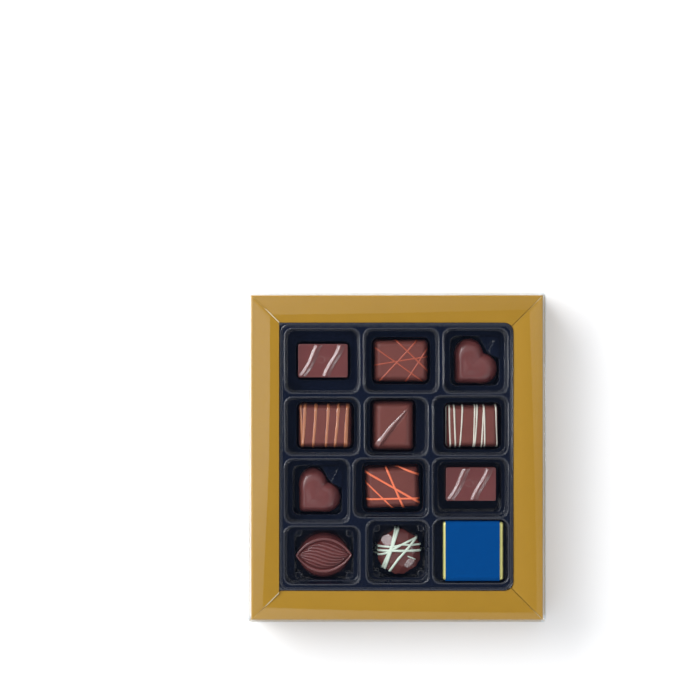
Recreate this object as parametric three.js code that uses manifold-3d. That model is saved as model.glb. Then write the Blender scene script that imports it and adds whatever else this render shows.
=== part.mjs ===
// Box of twelve chocolate pralines: a folded card base, a black moulded tray,
// eleven pralines and one wrapped square, and a clear lift-off lid.
// Millimetres, +Z up, origin at the middle of the underside. +X is the right and +Y the
// back of the box as it lies open to view.

import * as THREE from 'three';
import * as BufferGeometryUtils from 'three/addons/utils/BufferGeometryUtils.js';
import Module from 'manifold-3d';

const wasm = await Module();
wasm.setup();

// Clear lid.
const LID_WIDTH = 171;
const LID_LENGTH = 188.8;
const BOX_HEIGHT = 27;
const LID_THICKNESS = 0.5;
const LID_FOOT = 1.5;
const LID_CORNER = 2.0;
const LID_EDGE = 1.2;

// Card base: floor, four walls and four border flaps folded in from the wall tops.
const CARD = 0.6;
const BASE_WIDTH = 167.4;
const BASE_LENGTH = 186.2;
const BASE_HEIGHT = 25.2;
const FLAP = 17.8;
const LEFT_FLAP = 16.0;
const FLAP_DROP = 2.1;
const LEFT_FLAP_DROP = 0.3;
const FLAP_BOW = 0.35;
const LEFT_FLAP_BOW = 0.14;
const MITRE_SLIT = 0.35;

// Moulded tray: a flange with a bead, hung on three flaps and tucked under the left one.
const TRAY = 0.4;
const TRAY_TOP = 23.9;
const TRAY_EDGES = { left: -71, right: 66.9, front: -76.6, back: 77.5 };
const TRAY_CORNERS = [5.4, 3.3, 3.3, 5.4];
const BEAD_EDGES = { left: -66.9, right: 66.0, front: -75.8, back: 76.4 };
const BEAD_CORNER = 4.8;
const BEAD_WIDTH = 1.2;
const BEAD_RISE = 0.5;
const WALL_DRAFT = 1.2;
const LEDGE_DROP = 9;
const CAVITY_CORNER = 3.8;
const CORNER_STEPS = 3;

// Faceted prop beside a heart: its reach along the two walls and towards the notch.
const PROP = { reach: 11.5, topReach: 11, tip: 9, topTip: 5.6, rise: 1, overlap: 0.4 };
// Low post in a pocket's corner: its size, its taper and how far its top is under the ledge.
const POST = { size: 5, taper: 0.4, corner: 1.4, drop: 3, overlap: 1 };

// Heights inside the tray.
const POCKET_FLOOR = 3.9;
const SQUARE_FLOOR = 17.9;
const CLEARANCE = 0.3;

// Colours of the real pieces.
const GOLD = 0xa87c28;
const BLACK = 0x141826;
const DARK_CHOCOLATE = 0x70423e;
const FOIL = 0xdcdc8c;
const BLUE_PAPER = 0x004b8c;
const CLEAR = 0xffffff;

const COLUMN_LEFT = -43;
const COLUMN_RIGHT = 42.1;
const ROW_BACK = 55.5;
const ROW_SECOND = 18;
const ROW_THIRD = -17.3;
const ROW_FRONT = -55;

// The cavities: the size of each rim, and the size and shift of the pocket that holds the piece.
const cavity = (x, y, rim, pocket, shift) => ({ x, y, rim, pocket, shift });
const CAVITIES = {
  backLeft: cavity(COLUMN_LEFT, ROW_BACK, [43.2, 37.4], [31.6, 22.4], [0.4, 0]),
  backMiddle: cavity(2.4, ROW_BACK, [43.3, 37.4], [33.8, 27.2], [0, 0]),
  backRight: cavity(45.05, ROW_BACK, [37.3, 37.6], [28.4, 28.8], [0, 0]),
  secondLeft: cavity(COLUMN_LEFT, ROW_SECOND - 0.1, [43.2, 33.6], [33.4, 27.4], [1.7, 0.1]),
  secondMiddle: cavity(-0.5, ROW_SECOND - 0.3, [36.7, 34], [26.4, 31], [-1.7, 0.5]),
  secondRight: cavity(COLUMN_RIGHT, ROW_SECOND + 0.3, [43.5, 34.4], [33.4, 27.4], [1.7, -0.5]),
  thirdLeft: cavity(-45.9, ROW_THIRD - 2, [37.6, 37.2], [28.4, 28.6], [0, 0]),
  thirdMiddle: cavity(-3.5, ROW_THIRD - 0.2, [43.6, 34.3], [35.2, 29.2], [1.1, 0.2]),
  thirdRight: cavity(COLUMN_RIGHT, ROW_THIRD, [43.8, 34.2], [36.6, 28.6], [0, -0.3]),
  frontLeft: cavity(COLUMN_LEFT, ROW_FRONT - 1.2, [43.7, 33.7], [34, 28.8], [0.9, -0.7]),
  frontMiddle: cavity(0.3, ROW_FRONT + 0.8, [36.2, 36.7], [30, 30.4], [1.0, -0.6]),
  frontRight: cavity(COLUMN_RIGHT + 0.2, ROW_FRONT + 1.2, [43.8, 37.3], null, [1.1, 0]),
};

// Pralines.
const BLOCK_HEIGHT = 15;
const BLOCK_CORNER = 2.6;
const BLOCK_EDGE = 2.8;
const BLOCK_FOOT = 0.7;
const SHOULDER = 11;
const GEM_SHOULDER = 4;
const STRIPE_WIDTH = 1.5;
const STRIPE_RISE = 0.65;
const DRIZZLE_WIDTH = 1.7;
const THIN_DRIZZLE_WIDTH = 1.0;
const THREAD_BLOCK_TURN = 4.7;
const RIDGE_HEIGHT = BLOCK_HEIGHT + 1.5;
const RIDGE_EDGE = 3.4;
const CREST = { route: [[-8.6, -11.6], [-0.5, -1.6], [8.0, 9.2]], width: 1.6, rise: 0.9 };
const HEART_SIDE = 16.5;
const HEART_STRETCH = 1.067;
const HEART_HEIGHT = 14;
const HEART_EDGE = 5.6;
const HEART_SQUARENESS = 7;
const HEART_NOTCH = 14;
const POD = {
  base: [30.8, 26.6], rim: [32.8, 20.6], height: 14.5, rimHeight: 11.5, ridges: 8, turn: 3,
};
const SQUARE = { foil: [35.2, 33.6, 4.4], bandWidth: 31.1, band: 0.35, corner: 0.9 };

// Moulded block with two raised waves, each given by its middle, its lean over half the
// block, and its sway to either side with the phase of that sway.
const WAVE_BLOCK_HEIGHT = 14;
const WAVE_EDGE = 0.6;
const WAVES = [
  { middle: -6.9, lean: 5.5, sway: 0.5, phase: 2.2 },
  { middle: 6.2, lean: 4.9, sway: 0.5, phase: 0 },
];
const WAVE_WIDTH = 3.3;
const WAVE_RISE = 0.75;
const WAVE_STEPS = 8;

// Faceted dome: rounds of six flats, each with its first direction and its tilt in degrees
// and its distance from the middle of the foot.
const GEM = { blank: 30, height: 16.5, flats: 6 };
const GEM_ROUNDS = [
  { first: 46, tilt: 12, distance: 16.14 },
  { first: 16, tilt: 29, distance: 16.44 },
  { first: 46, tilt: 36, distance: 16.67 },
  { first: 30, tilt: 58, distance: 16.6 },
  { first: 0, tilt: 62, distance: 16.04 },
  { first: 0, tilt: 87, distance: 12.5 },
  { first: 30, tilt: 87, distance: 13.0 },
];

// Places where a stripe or thread of chocolate crosses a praline, from its middle.
const CARAMEL_STRIPES = [[-11.6, -13.2], [-5.3, -7.1], [2.0, 0.3], [7.8, 5.5], [13.3, 11.4]];
const IVORY_STRIPES = [[-13.5, -12.8], [-10.8, -9.9], [-5.9, -7.6], [1.3, 0.4], [2.6, 0.9],
  [6.5, 5.0], [6.3, 6.8], [13.4, 14.2]];
const ORANGE_THREADS = [[-15.2, 10.2, 15.4, -9.7], [-15.4, 4.1, -0.5, -11.6],
  [-3.9, 11.5, 5.8, -11.9], [-15.3, -5.5, 15.4, -7.5], [2.7, 11.7, 15.4, 6.3]];
const RED_THREADS = [[-15.0, 7.6, 12.6, -11.4], [-12.4, -11.6, 9.4, 11.6], [-15.4, -2.6, 15.4, 2.4],
  [-3.4, 11.8, 15.2, -6.4], [2.6, -11.8, 15.0, 8.4]];
const GEM_THREADS = [
  [[-1.2, 13.0], [-4.6, 2.0], [-9.6, -9.8]],
  [[-0.4, 12.8], [-3.6, 2.0], [-8.0, -10.2]],
  [[-12.8, 2.6], [-4.2, 2.4], [6.0, 3.6], [12.6, 3.4]],
  [[-12.8, 0.2], [0, 0.1], [13.0, 0.2]],
  [[-12.6, -2.2], [-8.0, -2.0], [-1.2, 2.0], [4.4, 4.6], [9.2, 7.4]],
  [[9.4, 7.0], [3.6, 0], [-1.6, -6.6], [-5.4, -11.6]],
];

function ring(halfWidth, halfLength, corners, z, steps = CORNER_STEPS) {
  // A rounded rectangle, anticlockwise from the right-hand back corner.
  const signs = [[1, 1], [-1, 1], [-1, -1], [1, -1]];
  const radii = Array.isArray(corners) ? corners : [corners, corners, corners, corners];
  return signs.flatMap(([sx, sy], corner) => {
    const radius = Math.max(radii[corner], 0.05);
    return Array.from({ length: steps + 1 }, (_, step) => {
      const angle = (corner + step / steps) * Math.PI / 2;
      return new THREE.Vector3(
        sx * (halfWidth - radius) + radius * Math.cos(angle),
        sy * (halfLength - radius) + radius * Math.sin(angle),
        z,
      );
    });
  });
}

function edgeRing(edges, radii, z) {
  // The rounded rectangle between four edges that need not be centred.
  const halfWidth = (edges.right - edges.left) / 2;
  const halfLength = (edges.back - edges.front) / 2;
  const middle = new THREE.Vector3(edges.left + halfWidth, edges.front + halfLength, 0);
  return ring(halfWidth, halfLength, radii, z).map((point) => point.add(middle));
}

function loft(rings) {
  // A closed skin over rings of equal count, each end closed by a fan about its middle.
  const count = rings[0].length;
  const middles = [rings[0], rings.at(-1)].map((points) => points
    .reduce((sum, point) => sum.add(point), new THREE.Vector3()).divideScalar(count));
  const points = [...rings.flat(), ...middles];
  const bottom = rings.length * count;
  const top = bottom + 1;
  const last = (rings.length - 1) * count;
  const triangles = [];
  for (let i = 0; i < count; i += 1) {
    const next = (i + 1) % count;
    for (let level = 0; level < last; level += count) {
      triangles.push(level + i, level + next, level + count + next);
      triangles.push(level + i, level + count + next, level + count + i);
    }
    triangles.push(bottom, next, i);
    triangles.push(top, last + i, last + next);
  }
  const geometry = new THREE.BufferGeometry().setFromPoints(points);
  geometry.setIndex(triangles);
  return geometry;
}

function toSolid(geometry) {
  const merged = geometry.clone();
  merged.deleteAttribute('normal');
  merged.deleteAttribute('uv');
  const welded = BufferGeometryUtils.mergeVertices(merged, 1e-4);
  const index = welded.index.array;
  const kept = [];
  for (let i = 0; i < index.length; i += 3) {
    const [a, b, c] = index.slice(i, i + 3);
    if (a !== b && b !== c && c !== a) kept.push(a, b, c);
  }
  return new wasm.Manifold(new wasm.Mesh({
    numProp: 3,
    vertProperties: new Float32Array(welded.attributes.position.array),
    triVerts: new Uint32Array(kept),
  }));
}

function toGeometry(solid) {
  const mesh = solid.getMesh();
  const geometry = new THREE.BufferGeometry();
  geometry.setAttribute('position', new THREE.BufferAttribute(mesh.vertProperties, 3));
  geometry.setIndex(new THREE.BufferAttribute(mesh.triVerts, 1));
  geometry.computeVertexNormals();
  return geometry;
}

function join(geometries) {
  return toGeometry(geometries.map(toSolid).reduce((whole, piece) => whole.add(piece)));
}

function cut(geometry, cutters) {
  const solids = cutters.map(toSolid);
  return toGeometry(solids.reduce((rest, piece) => rest.subtract(piece), toSolid(geometry)));
}

function box(width, length, height, x, y, z) {
  return new THREE.BoxGeometry(width, length, height).translate(x, y, z + height / 2);
}

function sweep(path, halfWidth, halfHeight, sides = 4) {
  // An oval thread along a path, drawn in at its two ends.
  const upwards = new THREE.Vector3(0, 0, 1);
  const rings = path.map((point, i) => {
    const tangent = path[Math.min(i + 1, path.length - 1)].clone()
      .sub(path[Math.max(i - 1, 0)]).normalize();
    const side = upwards.clone().cross(tangent).normalize();
    const lift = tangent.clone().cross(side);
    const taper = i === 0 || i === path.length - 1 ? 0.5 : 1;
    return Array.from({ length: sides }, (_, step) => {
      const angle = (step / sides + 0.25) * Math.PI * 2;
      return point.clone()
        .addScaledVector(side, taper * halfWidth * Math.cos(angle))
        .addScaledVector(lift, taper * halfHeight * Math.sin(angle));
    });
  });
  return loft(rings);
}

function drape(geometry, route, steps, lowest) {
  // Lays a route of plan points on top of a piece, with its steps closest at the two ends.
  const mesh = new THREE.Mesh(geometry, new THREE.MeshBasicMaterial({ side: THREE.DoubleSide }));
  const curve = new THREE.CatmullRomCurve3(route.map(([x, y]) => new THREE.Vector3(x, y, 0)));
  const caster = new THREE.Raycaster();
  const height = (point) => {
    caster.set(new THREE.Vector3(point.x, point.y, 100), new THREE.Vector3(0, 0, -1));
    const [hit] = caster.intersectObject(mesh);
    return hit ? hit.point.z : null;
  };
  return Array.from({ length: steps + 1 }, (_, step) => (1 - Math.cos(Math.PI * step / steps)) / 2)
    .map((share) => curve.getPoint(share))
    .map((point) => ({ point, z: height(point) }))
    .filter(({ z }) => z !== null && z > lowest)
    .map(({ point, z }) => point.setZ(z));
}

function threads(geometry, routes, width, rise, steps, lowest) {
  return routes.map((route) => sweep(drape(geometry, route, steps, lowest), width / 2, rise));
}

// Card base.
function flapSolid(outerHalf, distance, width, drop) {
  // A strip along +Y at the right-hand side, mitred at both ends and a little bowed.
  const slit = MITRE_SLIT * Math.SQRT1_2;
  const bow = width === FLAP ? FLAP_BOW : LEFT_FLAP_BOW;
  const strips = 4;
  const rings = Array.from({ length: strips + 1 }, (_, strip) => {
    const share = strip / strips;
    const x = distance - width * share;
    const half = outerHalf - width * share - slit;
    const z = BASE_HEIGHT - drop * share + bow * Math.sin(Math.PI * share);
    return [
      new THREE.Vector3(x, half, z), new THREE.Vector3(x, half, z - CARD),
      new THREE.Vector3(x, -half, z - CARD), new THREE.Vector3(x, -half, z),
    ];
  });
  return loft(rings);
}

function cardBase() {
  const halfWidth = BASE_WIDTH / 2;
  const halfLength = BASE_LENGTH / 2;
  const wallHeight = BASE_HEIGHT - CARD / 2;
  const shell = cut(box(BASE_WIDTH, BASE_LENGTH, wallHeight, 0, 0, 0), [
    box(BASE_WIDTH - 2 * CARD, BASE_LENGTH - 2 * CARD, BASE_HEIGHT, 0, 0, CARD),
  ]);
  const right = flapSolid(halfLength, halfWidth, FLAP, FLAP_DROP);
  const left = flapSolid(halfLength, halfWidth, LEFT_FLAP, LEFT_FLAP_DROP).rotateZ(Math.PI);
  const back = flapSolid(halfWidth, halfLength, FLAP, FLAP_DROP).rotateZ(Math.PI / 2);
  const front = flapSolid(halfWidth, halfLength, FLAP, FLAP_DROP).rotateZ(-Math.PI / 2);
  return join([shell, right, left, back, front]);
}

// Moulded tray.
function cavityRings({ rim, pocket, shift }, grow) {
  // Floor, pocket mouth, ledge and rim; grow is the wall thickness of the outer skin.
  const wall = (inset, z) => ring(
    rim[0] / 2 - inset + grow, rim[1] / 2 - inset + grow, CAVITY_CORNER - inset / 2, z,
  );
  const mouth = grow ? [wall(0, TRAY_TOP)] : [wall(0, TRAY_TOP), wall(0, TRAY_TOP + 1)];
  if (!pocket) return [wall(WALL_DRAFT * 0.7, SQUARE_FLOOR - grow), ...mouth];
  const middle = new THREE.Vector3(...shift, 0);
  const well = (flare, z) => ring(
    pocket[0] / 2 + flare + grow, pocket[1] / 2 + flare + grow, CAVITY_CORNER, z,
  ).map((point) => point.add(middle));
  const ledge = TRAY_TOP - LEDGE_DROP - grow;
  return [well(0, POCKET_FLOOR - grow), well(0.6, ledge - 0.6), wall(WALL_DRAFT, ledge), ...mouth];
}

function cavitySolid(place, grow) {
  return loft(cavityRings(place, grow)).translate(place.x, place.y, 0);
}

function heartProp({ x, y, pocket }) {
  // The faceted prop that reaches into the notch of a heart.
  const right = pocket[0] / 2 + PROP.overlap;
  const back = pocket[1] / 2 + PROP.overlap;
  const face = (z, reach, tip) => [
    new THREE.Vector3(right, back, z), new THREE.Vector3(right - reach, back, z),
    new THREE.Vector3(right - tip, back - tip, z), new THREE.Vector3(right, back - reach, z),
  ];
  return loft([
    face(POCKET_FLOOR - TRAY / 2, PROP.reach, PROP.tip),
    face(TRAY_TOP - LEDGE_DROP + PROP.rise, PROP.topReach, PROP.topTip),
  ]).translate(x, y, 0);
}

function cornerPosts({ x, y, pocket, shift }) {
  // Four low posts that keep a round piece in the middle of its pocket.
  const half = POST.size / 2;
  const high = TRAY_TOP - LEDGE_DROP - POST.drop;
  return [[1, 1], [-1, 1], [-1, -1], [1, -1]].map(([sx, sy]) => loft([
    ring(half, half, POST.corner, POCKET_FLOOR - TRAY / 2, 1),
    ring(half - POST.taper, half - POST.taper, POST.corner - POST.taper / 2, high, 1),
  ]).translate(
    x + shift[0] + sx * (pocket[0] / 2 - half + POST.overlap),
    y + shift[1] + sy * (pocket[1] / 2 - half + POST.overlap), 0,
  ));
}

function tray() {
  const cavities = Object.values(CAVITIES);
  const flange = loft([
    edgeRing(TRAY_EDGES, TRAY_CORNERS, TRAY_TOP - TRAY),
    edgeRing(TRAY_EDGES, TRAY_CORNERS, TRAY_TOP),
  ]);
  const inner = {
    left: BEAD_EDGES.left + BEAD_WIDTH, right: BEAD_EDGES.right - BEAD_WIDTH,
    front: BEAD_EDGES.front + BEAD_WIDTH, back: BEAD_EDGES.back - BEAD_WIDTH,
  };
  const outerBead = (z) => edgeRing(BEAD_EDGES, BEAD_CORNER, z);
  const innerBead = (z) => edgeRing(inner, BEAD_CORNER - BEAD_WIDTH, z);
  const bead = cut(
    loft([outerBead(TRAY_TOP - TRAY / 2), outerBead(TRAY_TOP + BEAD_RISE)]),
    [loft([innerBead(TRAY_TOP - TRAY), innerBead(TRAY_TOP + 2 * BEAD_RISE)])],
  );
  const outside = join([flange, bead, ...cavities.map((place) => cavitySolid(place, TRAY))]);
  const shell = cut(outside, cavities.map((place) => cavitySolid(place, 0)));
  return join([
    shell, heartProp(CAVITIES.backRight), heartProp(CAVITIES.thirdLeft),
    ...cornerPosts(CAVITIES.frontLeft), ...cornerPosts(CAVITIES.frontMiddle),
  ]);
}

// Pralines, each round its own middle with its base at zero.
function enrobedBlock(width, length, height, edge = BLOCK_EDGE) {
  // Coated block: a small foot, nearly upright sides and rounded shoulders.
  const level = (inset, z) => ring(width / 2 - inset, length / 2 - inset, BLOCK_CORNER, z);
  const shoulder = [0, 0.5, 1].map((share) => {
    const angle = share * Math.PI / 2;
    return level(BLOCK_FOOT + edge * (1 - Math.cos(angle)), height - edge + edge * Math.sin(angle));
  });
  return loft([level(0, 0), level(0, 0.8), level(BLOCK_FOOT, 2), ...shoulder]);
}

function stripedBlock(width, length, stripes) {
  const block = enrobedBlock(width, length, BLOCK_HEIGHT);
  const reach = length / 2 - BLOCK_FOOT - 0.15;
  const routes = stripes.map(([back, front]) => [[back, reach], [(back + front) / 2, 0], [front, -reach]]);
  return join([block, ...threads(block, routes, STRIPE_WIDTH, STRIPE_RISE, 6, SHOULDER)]);
}

function threadedBlock(width, length, lines, thickness) {
  const block = enrobedBlock(width, length, BLOCK_HEIGHT);
  const routes = lines.map(([x0, y0, x1, y1]) => [[x0, y0], [x1, y1]]);
  return join([block, ...threads(block, routes, thickness, thickness / 3, 7, SHOULDER)]);
}

function ridgedBlock(width, length) {
  // Taller, softer block with one slanting crest pulled up from the coating.
  const block = enrobedBlock(width, length, RIDGE_HEIGHT, RIDGE_EDGE);
  const crest = drape(block, CREST.route, 8, SHOULDER);
  return join([block, sweep(crest, CREST.width / 2, CREST.rise)]);
}

function waveBlock(width, length) {
  // Moulded block: crisp edges, and two raised waves across its flat top.
  const level = (inset, z) => ring(width / 2 - inset, length / 2 - inset, 2 * WAVE_EDGE, z);
  const block = loft([
    level(0, 0), level(WAVE_EDGE, WAVE_BLOCK_HEIGHT - WAVE_EDGE), level(2 * WAVE_EDGE, WAVE_BLOCK_HEIGHT),
  ]);
  const waves = WAVES.map(({ middle, lean, sway, phase }) => sweep(
    Array.from({ length: WAVE_STEPS + 1 }, (_, step) => {
      const along = 1 - 2 * step / WAVE_STEPS;
      const x = middle + lean * along + sway * Math.sin(Math.PI * along + phase);
      return new THREE.Vector3(x, along * (length / 2 - 2 * WAVE_EDGE), WAVE_BLOCK_HEIGHT);
    }), WAVE_WIDTH / 2, WAVE_RISE,
  ));
  return join([block, ...waves]);
}

function heartRing(inset, z) {
  // A square with a half disc on two of its sides, its corners rounded: point to the front left.
  const count = 40;
  return Array.from({ length: count }, (_, step) => {
    const angle = step / count * Math.PI * 2;
    const c = Math.cos(angle);
    const s = Math.sin(angle);
    const norm = (power, ...terms) => terms.reduce((sum, term) => sum + term ** power, 0) ** (1 / power);
    const square = 0.5 / norm(HEART_SQUARENESS, Math.abs(c), Math.abs(s));
    const reach = HEART_SIDE * norm(HEART_NOTCH, square, Math.max(c, 0), Math.max(s, 0));
    const radius = Math.max(reach - inset, 0.25 * reach);
    return new THREE.Vector3(radius * c, radius * s * HEART_STRETCH, z);
  });
}

function heart() {
  const shoulder = [0, 0.3, 0.55, 0.8, 1].map((share) => {
    const angle = share * Math.PI / 2;
    return heartRing(0.6 + HEART_EDGE * (1 - Math.cos(angle)),
      HEART_HEIGHT - 0.8 - HEART_EDGE * (1 - Math.sin(angle)));
  });
  const crown = heartRing(HEART_EDGE + 3, HEART_HEIGHT);
  return loft([heartRing(0, 0), ...shoulder, crown]);
}

function podTop(u, v) {
  // Height over a lens: a raised rim, a groove inside it, and ribs snaking from tip to tip.
  const side = Math.abs(v);
  const ends = Math.max(0, 1 - u * u);
  if (side > 0.99) return POD.rimHeight - 0.4;
  if (side > 0.85) return POD.rimHeight + 0.9;
  if (side > 0.79) return POD.rimHeight - 0.5 * ends;
  const inside = 1 - (side / 0.8) ** 2;
  const snake = v + 0.14 * Math.sin(Math.PI * u) * inside;
  const rib = Math.cos(Math.PI * POD.ridges * snake) * ends;
  return POD.rimHeight + (POD.height - POD.rimHeight) * inside * ends ** 0.6 + 0.5 * rib;
}

function pod() {
  const across = [-1, -0.95, -0.87, -0.8];
  const ribSteps = POD.ridges * 2 - 4;
  for (let step = 1; step < ribSteps; step += 1) across.push(-0.8 + 1.6 * step / ribSteps);
  across.push(0.8, 0.87, 0.95, 1);
  const along = 12;
  const lens = (step) => {
    const u = -Math.cos(Math.PI * step / along);
    return { u, half: POD.rim[1] / 2 * Math.max(0, 1 - u * u) ** 0.85 };
  };
  const points = [];
  for (let step = 0; step <= along; step += 1) {
    const { u, half } = lens(step);
    across.forEach((v) => points.push(new THREE.Vector3(POD.rim[0] / 2 * u, half * v,
      half === 0 ? POD.rimHeight + 0.3 : podTop(u, v))));
  }
  const columns = across.length;
  const triangles = [];
  for (let step = 0; step < along; step += 1) {
    for (let column = 0; column + 1 < columns; column += 1) {
      const a = step * columns + column;
      const b = a + columns;
      triangles.push(a, b, b + 1, a, b + 1, a + 1);
    }
  }
  // The flank runs from the lens edge down to the oval base.
  const right = Array.from({ length: along + 1 }, (_, step) => step * columns);
  const left = Array.from({ length: along - 1 }, (_, step) => (along - 1 - step) * columns + columns - 1);
  const edge = [...right, ...left];
  const flank = [[0.45, POD.rimHeight - 4], [1, 1.6], [1, 0]];
  const starts = flank.map(([share, z]) => {
    const start = points.length;
    edge.forEach((corner) => {
      const { x, y } = points[corner];
      const angle = Math.atan2(y / POD.rim[1], x / POD.rim[0]);
      points.push(new THREE.Vector3(
        x + (POD.base[0] / 2 * Math.cos(angle) - x) * share,
        y + (POD.base[1] / 2 * Math.sin(angle) - y) * share, z,
      ));
    });
    return start;
  });
  const loops = [edge, ...starts.map((start) => edge.map((_, i) => start + i))];
  const foot = points.push(new THREE.Vector3(0, 0, 0)) - 1;
  edge.forEach((_, i) => {
    const next = (i + 1) % edge.length;
    for (let level = 0; level + 1 < loops.length; level += 1) {
      const upper = loops[level];
      const lower = loops[level + 1];
      triangles.push(lower[i], lower[next], upper[next], lower[i], upper[next], upper[i]);
    }
    triangles.push(foot, loops.at(-1)[next], loops.at(-1)[i]);
  });
  const geometry = new THREE.BufferGeometry().setFromPoints(points);
  geometry.setIndex(triangles);
  return toGeometry(toSolid(geometry)).rotateZ(THREE.MathUtils.degToRad(POD.turn));
}

function gem() {
  // A blank cut by rounds of flat facets, from the crown down to nearly upright sides.
  const blank = box(GEM.blank, GEM.blank, GEM.height, 0, 0, 0);
  const facets = GEM_ROUNDS.flatMap(({ first, tilt, distance }) => Array.from(
    { length: GEM.flats }, (_, flat) => new THREE.BoxGeometry(80, 80, 40)
      .translate(0, 0, 20 + distance)
      .rotateY(THREE.MathUtils.degToRad(tilt))
      .rotateZ(THREE.MathUtils.degToRad(first + flat * 360 / GEM.flats)),
  ));
  const dome = cut(blank, facets);
  return join([dome, ...threads(dome, GEM_THREADS, 1.3, 0.55, 7, GEM_SHOULDER)]);
}

function foilPack() {
  const [width, length, height] = SQUARE.foil;
  const edge = SQUARE.corner;
  const level = (inset, z) => ring(width / 2 - inset, length / 2 - inset, edge, z);
  return loft([
    level(edge, 0), level(0, edge), level(0, height - edge), level(edge / 2, height - edge / 3),
    level(edge * 1.3, height),
  ]);
}

function paperBand() {
  const [, length, height] = SQUARE.foil;
  const gap = CLEARANCE;
  const innerLength = length + 2 * gap;
  const innerHeight = height + 2 * gap;
  const middle = innerHeight / 2 + SQUARE.band;
  const section = (grow) => ring(
    innerLength / 2 + grow, innerHeight / 2 + grow, SQUARE.corner + grow, 0,
  ).map((point) => new THREE.Vector2(point.x, point.y + middle));
  const outline = new THREE.Shape(section(SQUARE.band));
  outline.holes.push(new THREE.Path(section(0).reverse()));
  return new THREE.ExtrudeGeometry(outline, { depth: SQUARE.bandWidth, bevelEnabled: false })
    .translate(0, 0, -SQUARE.bandWidth / 2)
    .rotateX(Math.PI / 2)
    .rotateZ(Math.PI / 2);
}

// Clear lid.
function lidSkin(inset, foot) {
  const level = (extra, z) => ring(
    LID_WIDTH / 2 - inset - extra, LID_LENGTH / 2 - inset - extra, LID_CORNER - inset, z,
  );
  const edge = LID_EDGE - inset * 0.4;
  const top = BOX_HEIGHT - inset;
  const shoulder = [0, 0.5, 1].map((share) => {
    const angle = share * Math.PI / 2;
    return level(edge * (1 - Math.cos(angle)), top - edge * (1 - Math.sin(angle)));
  });
  return loft([level(0, foot), ...shoulder]);
}

function lid() {
  return cut(lidSkin(0, LID_FOOT), [lidSkin(LID_THICKNESS, LID_FOOT - 1)]);
}

const finish = (color, roughness, metalness, extra = {}) => () => (
  new THREE.MeshStandardMaterial({ color, roughness, metalness, ...extra })
);
const materials = {
  gold: finish(GOLD, 0.4, 0.5),
  black: finish(BLACK, 0.2, 0),
  chocolate: finish(DARK_CHOCOLATE, 0.4, 0),
  foil: finish(FOIL, 0.25, 0.9),
  paper: finish(BLUE_PAPER, 0.5, 0),
  clear: finish(CLEAR, 0.05, 0, { transparent: true, opacity: 0.2 }),
};

const group = new THREE.Group();

function place(name, geometry, material, x = 0, y = 0, z = 0, turn = 0) {
  const mesh = new THREE.Mesh(geometry, material());
  mesh.name = name;
  mesh.position.set(x, y, z);
  mesh.rotation.z = THREE.MathUtils.degToRad(turn);
  group.add(mesh);
}

function fill(name, geometry, { x, y, shift }, offset = [0, 0], turn = 0) {
  const z = POCKET_FLOOR + CLEARANCE;
  const [across, along] = [x + shift[0] + offset[0], y + shift[1] + offset[1]];
  place(name, geometry, materials.chocolate, across, along, z, turn);
}

place('card_base', cardBase(), materials.gold);
place('tray', tray(), materials.black);

const redBlock = threadedBlock(32, 25, RED_THREADS, THIN_DRIZZLE_WIDTH);
const orangeBlock = threadedBlock(31.6, 24.4, ORANGE_THREADS, DRIZZLE_WIDTH);
fill('wave_block_back', waveBlock(29.7, 20.3), CAVITIES.backLeft);
fill('thread_block_back', redBlock, CAVITIES.backMiddle);
fill('heart_back', heart(), CAVITIES.backRight, [-3.1, -4.5]);
fill('caramel_block', stripedBlock(31.8, 26.2, CARAMEL_STRIPES), CAVITIES.secondLeft);
fill('ridge_block', ridgedBlock(24.6, 29.8), CAVITIES.secondMiddle);
fill('ivory_block', stripedBlock(31.4, 25.4, IVORY_STRIPES), CAVITIES.secondRight);
fill('heart_front', heart(), CAVITIES.thirdLeft, [-2.6, -4.3]);
fill('thread_block_front', orangeBlock, CAVITIES.thirdMiddle, [0, 0], THREAD_BLOCK_TURN);
fill('wave_block_front', waveBlock(30, 20.4), CAVITIES.thirdRight, [0.7, 1.9]);
fill('pod_praline', pod(), CAVITIES.frontLeft);
fill('gem_praline', gem(), CAVITIES.frontMiddle);

const { x: squareX, y: squareY, shift: squareShift } = CAVITIES.frontRight;
const squareMiddle = [squareX + squareShift[0], squareY];
const bandFoot = SQUARE_FLOOR + CLEARANCE;
const foilFoot = bandFoot + SQUARE.band + CLEARANCE;
place('square_foil', foilPack(), materials.foil, ...squareMiddle, foilFoot);
place('square_band', paperBand(), materials.paper, ...squareMiddle, bandFoot);

place('clear_lid', lid(), materials.clear);

export default group;
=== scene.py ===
# The box of chocolate pralines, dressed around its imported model.

import itertools
import math

import bmesh
import bpy
import numpy as np
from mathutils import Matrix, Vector
from mathutils.geometry import delaunay_2d_cdt, tessellate_polygon


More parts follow.
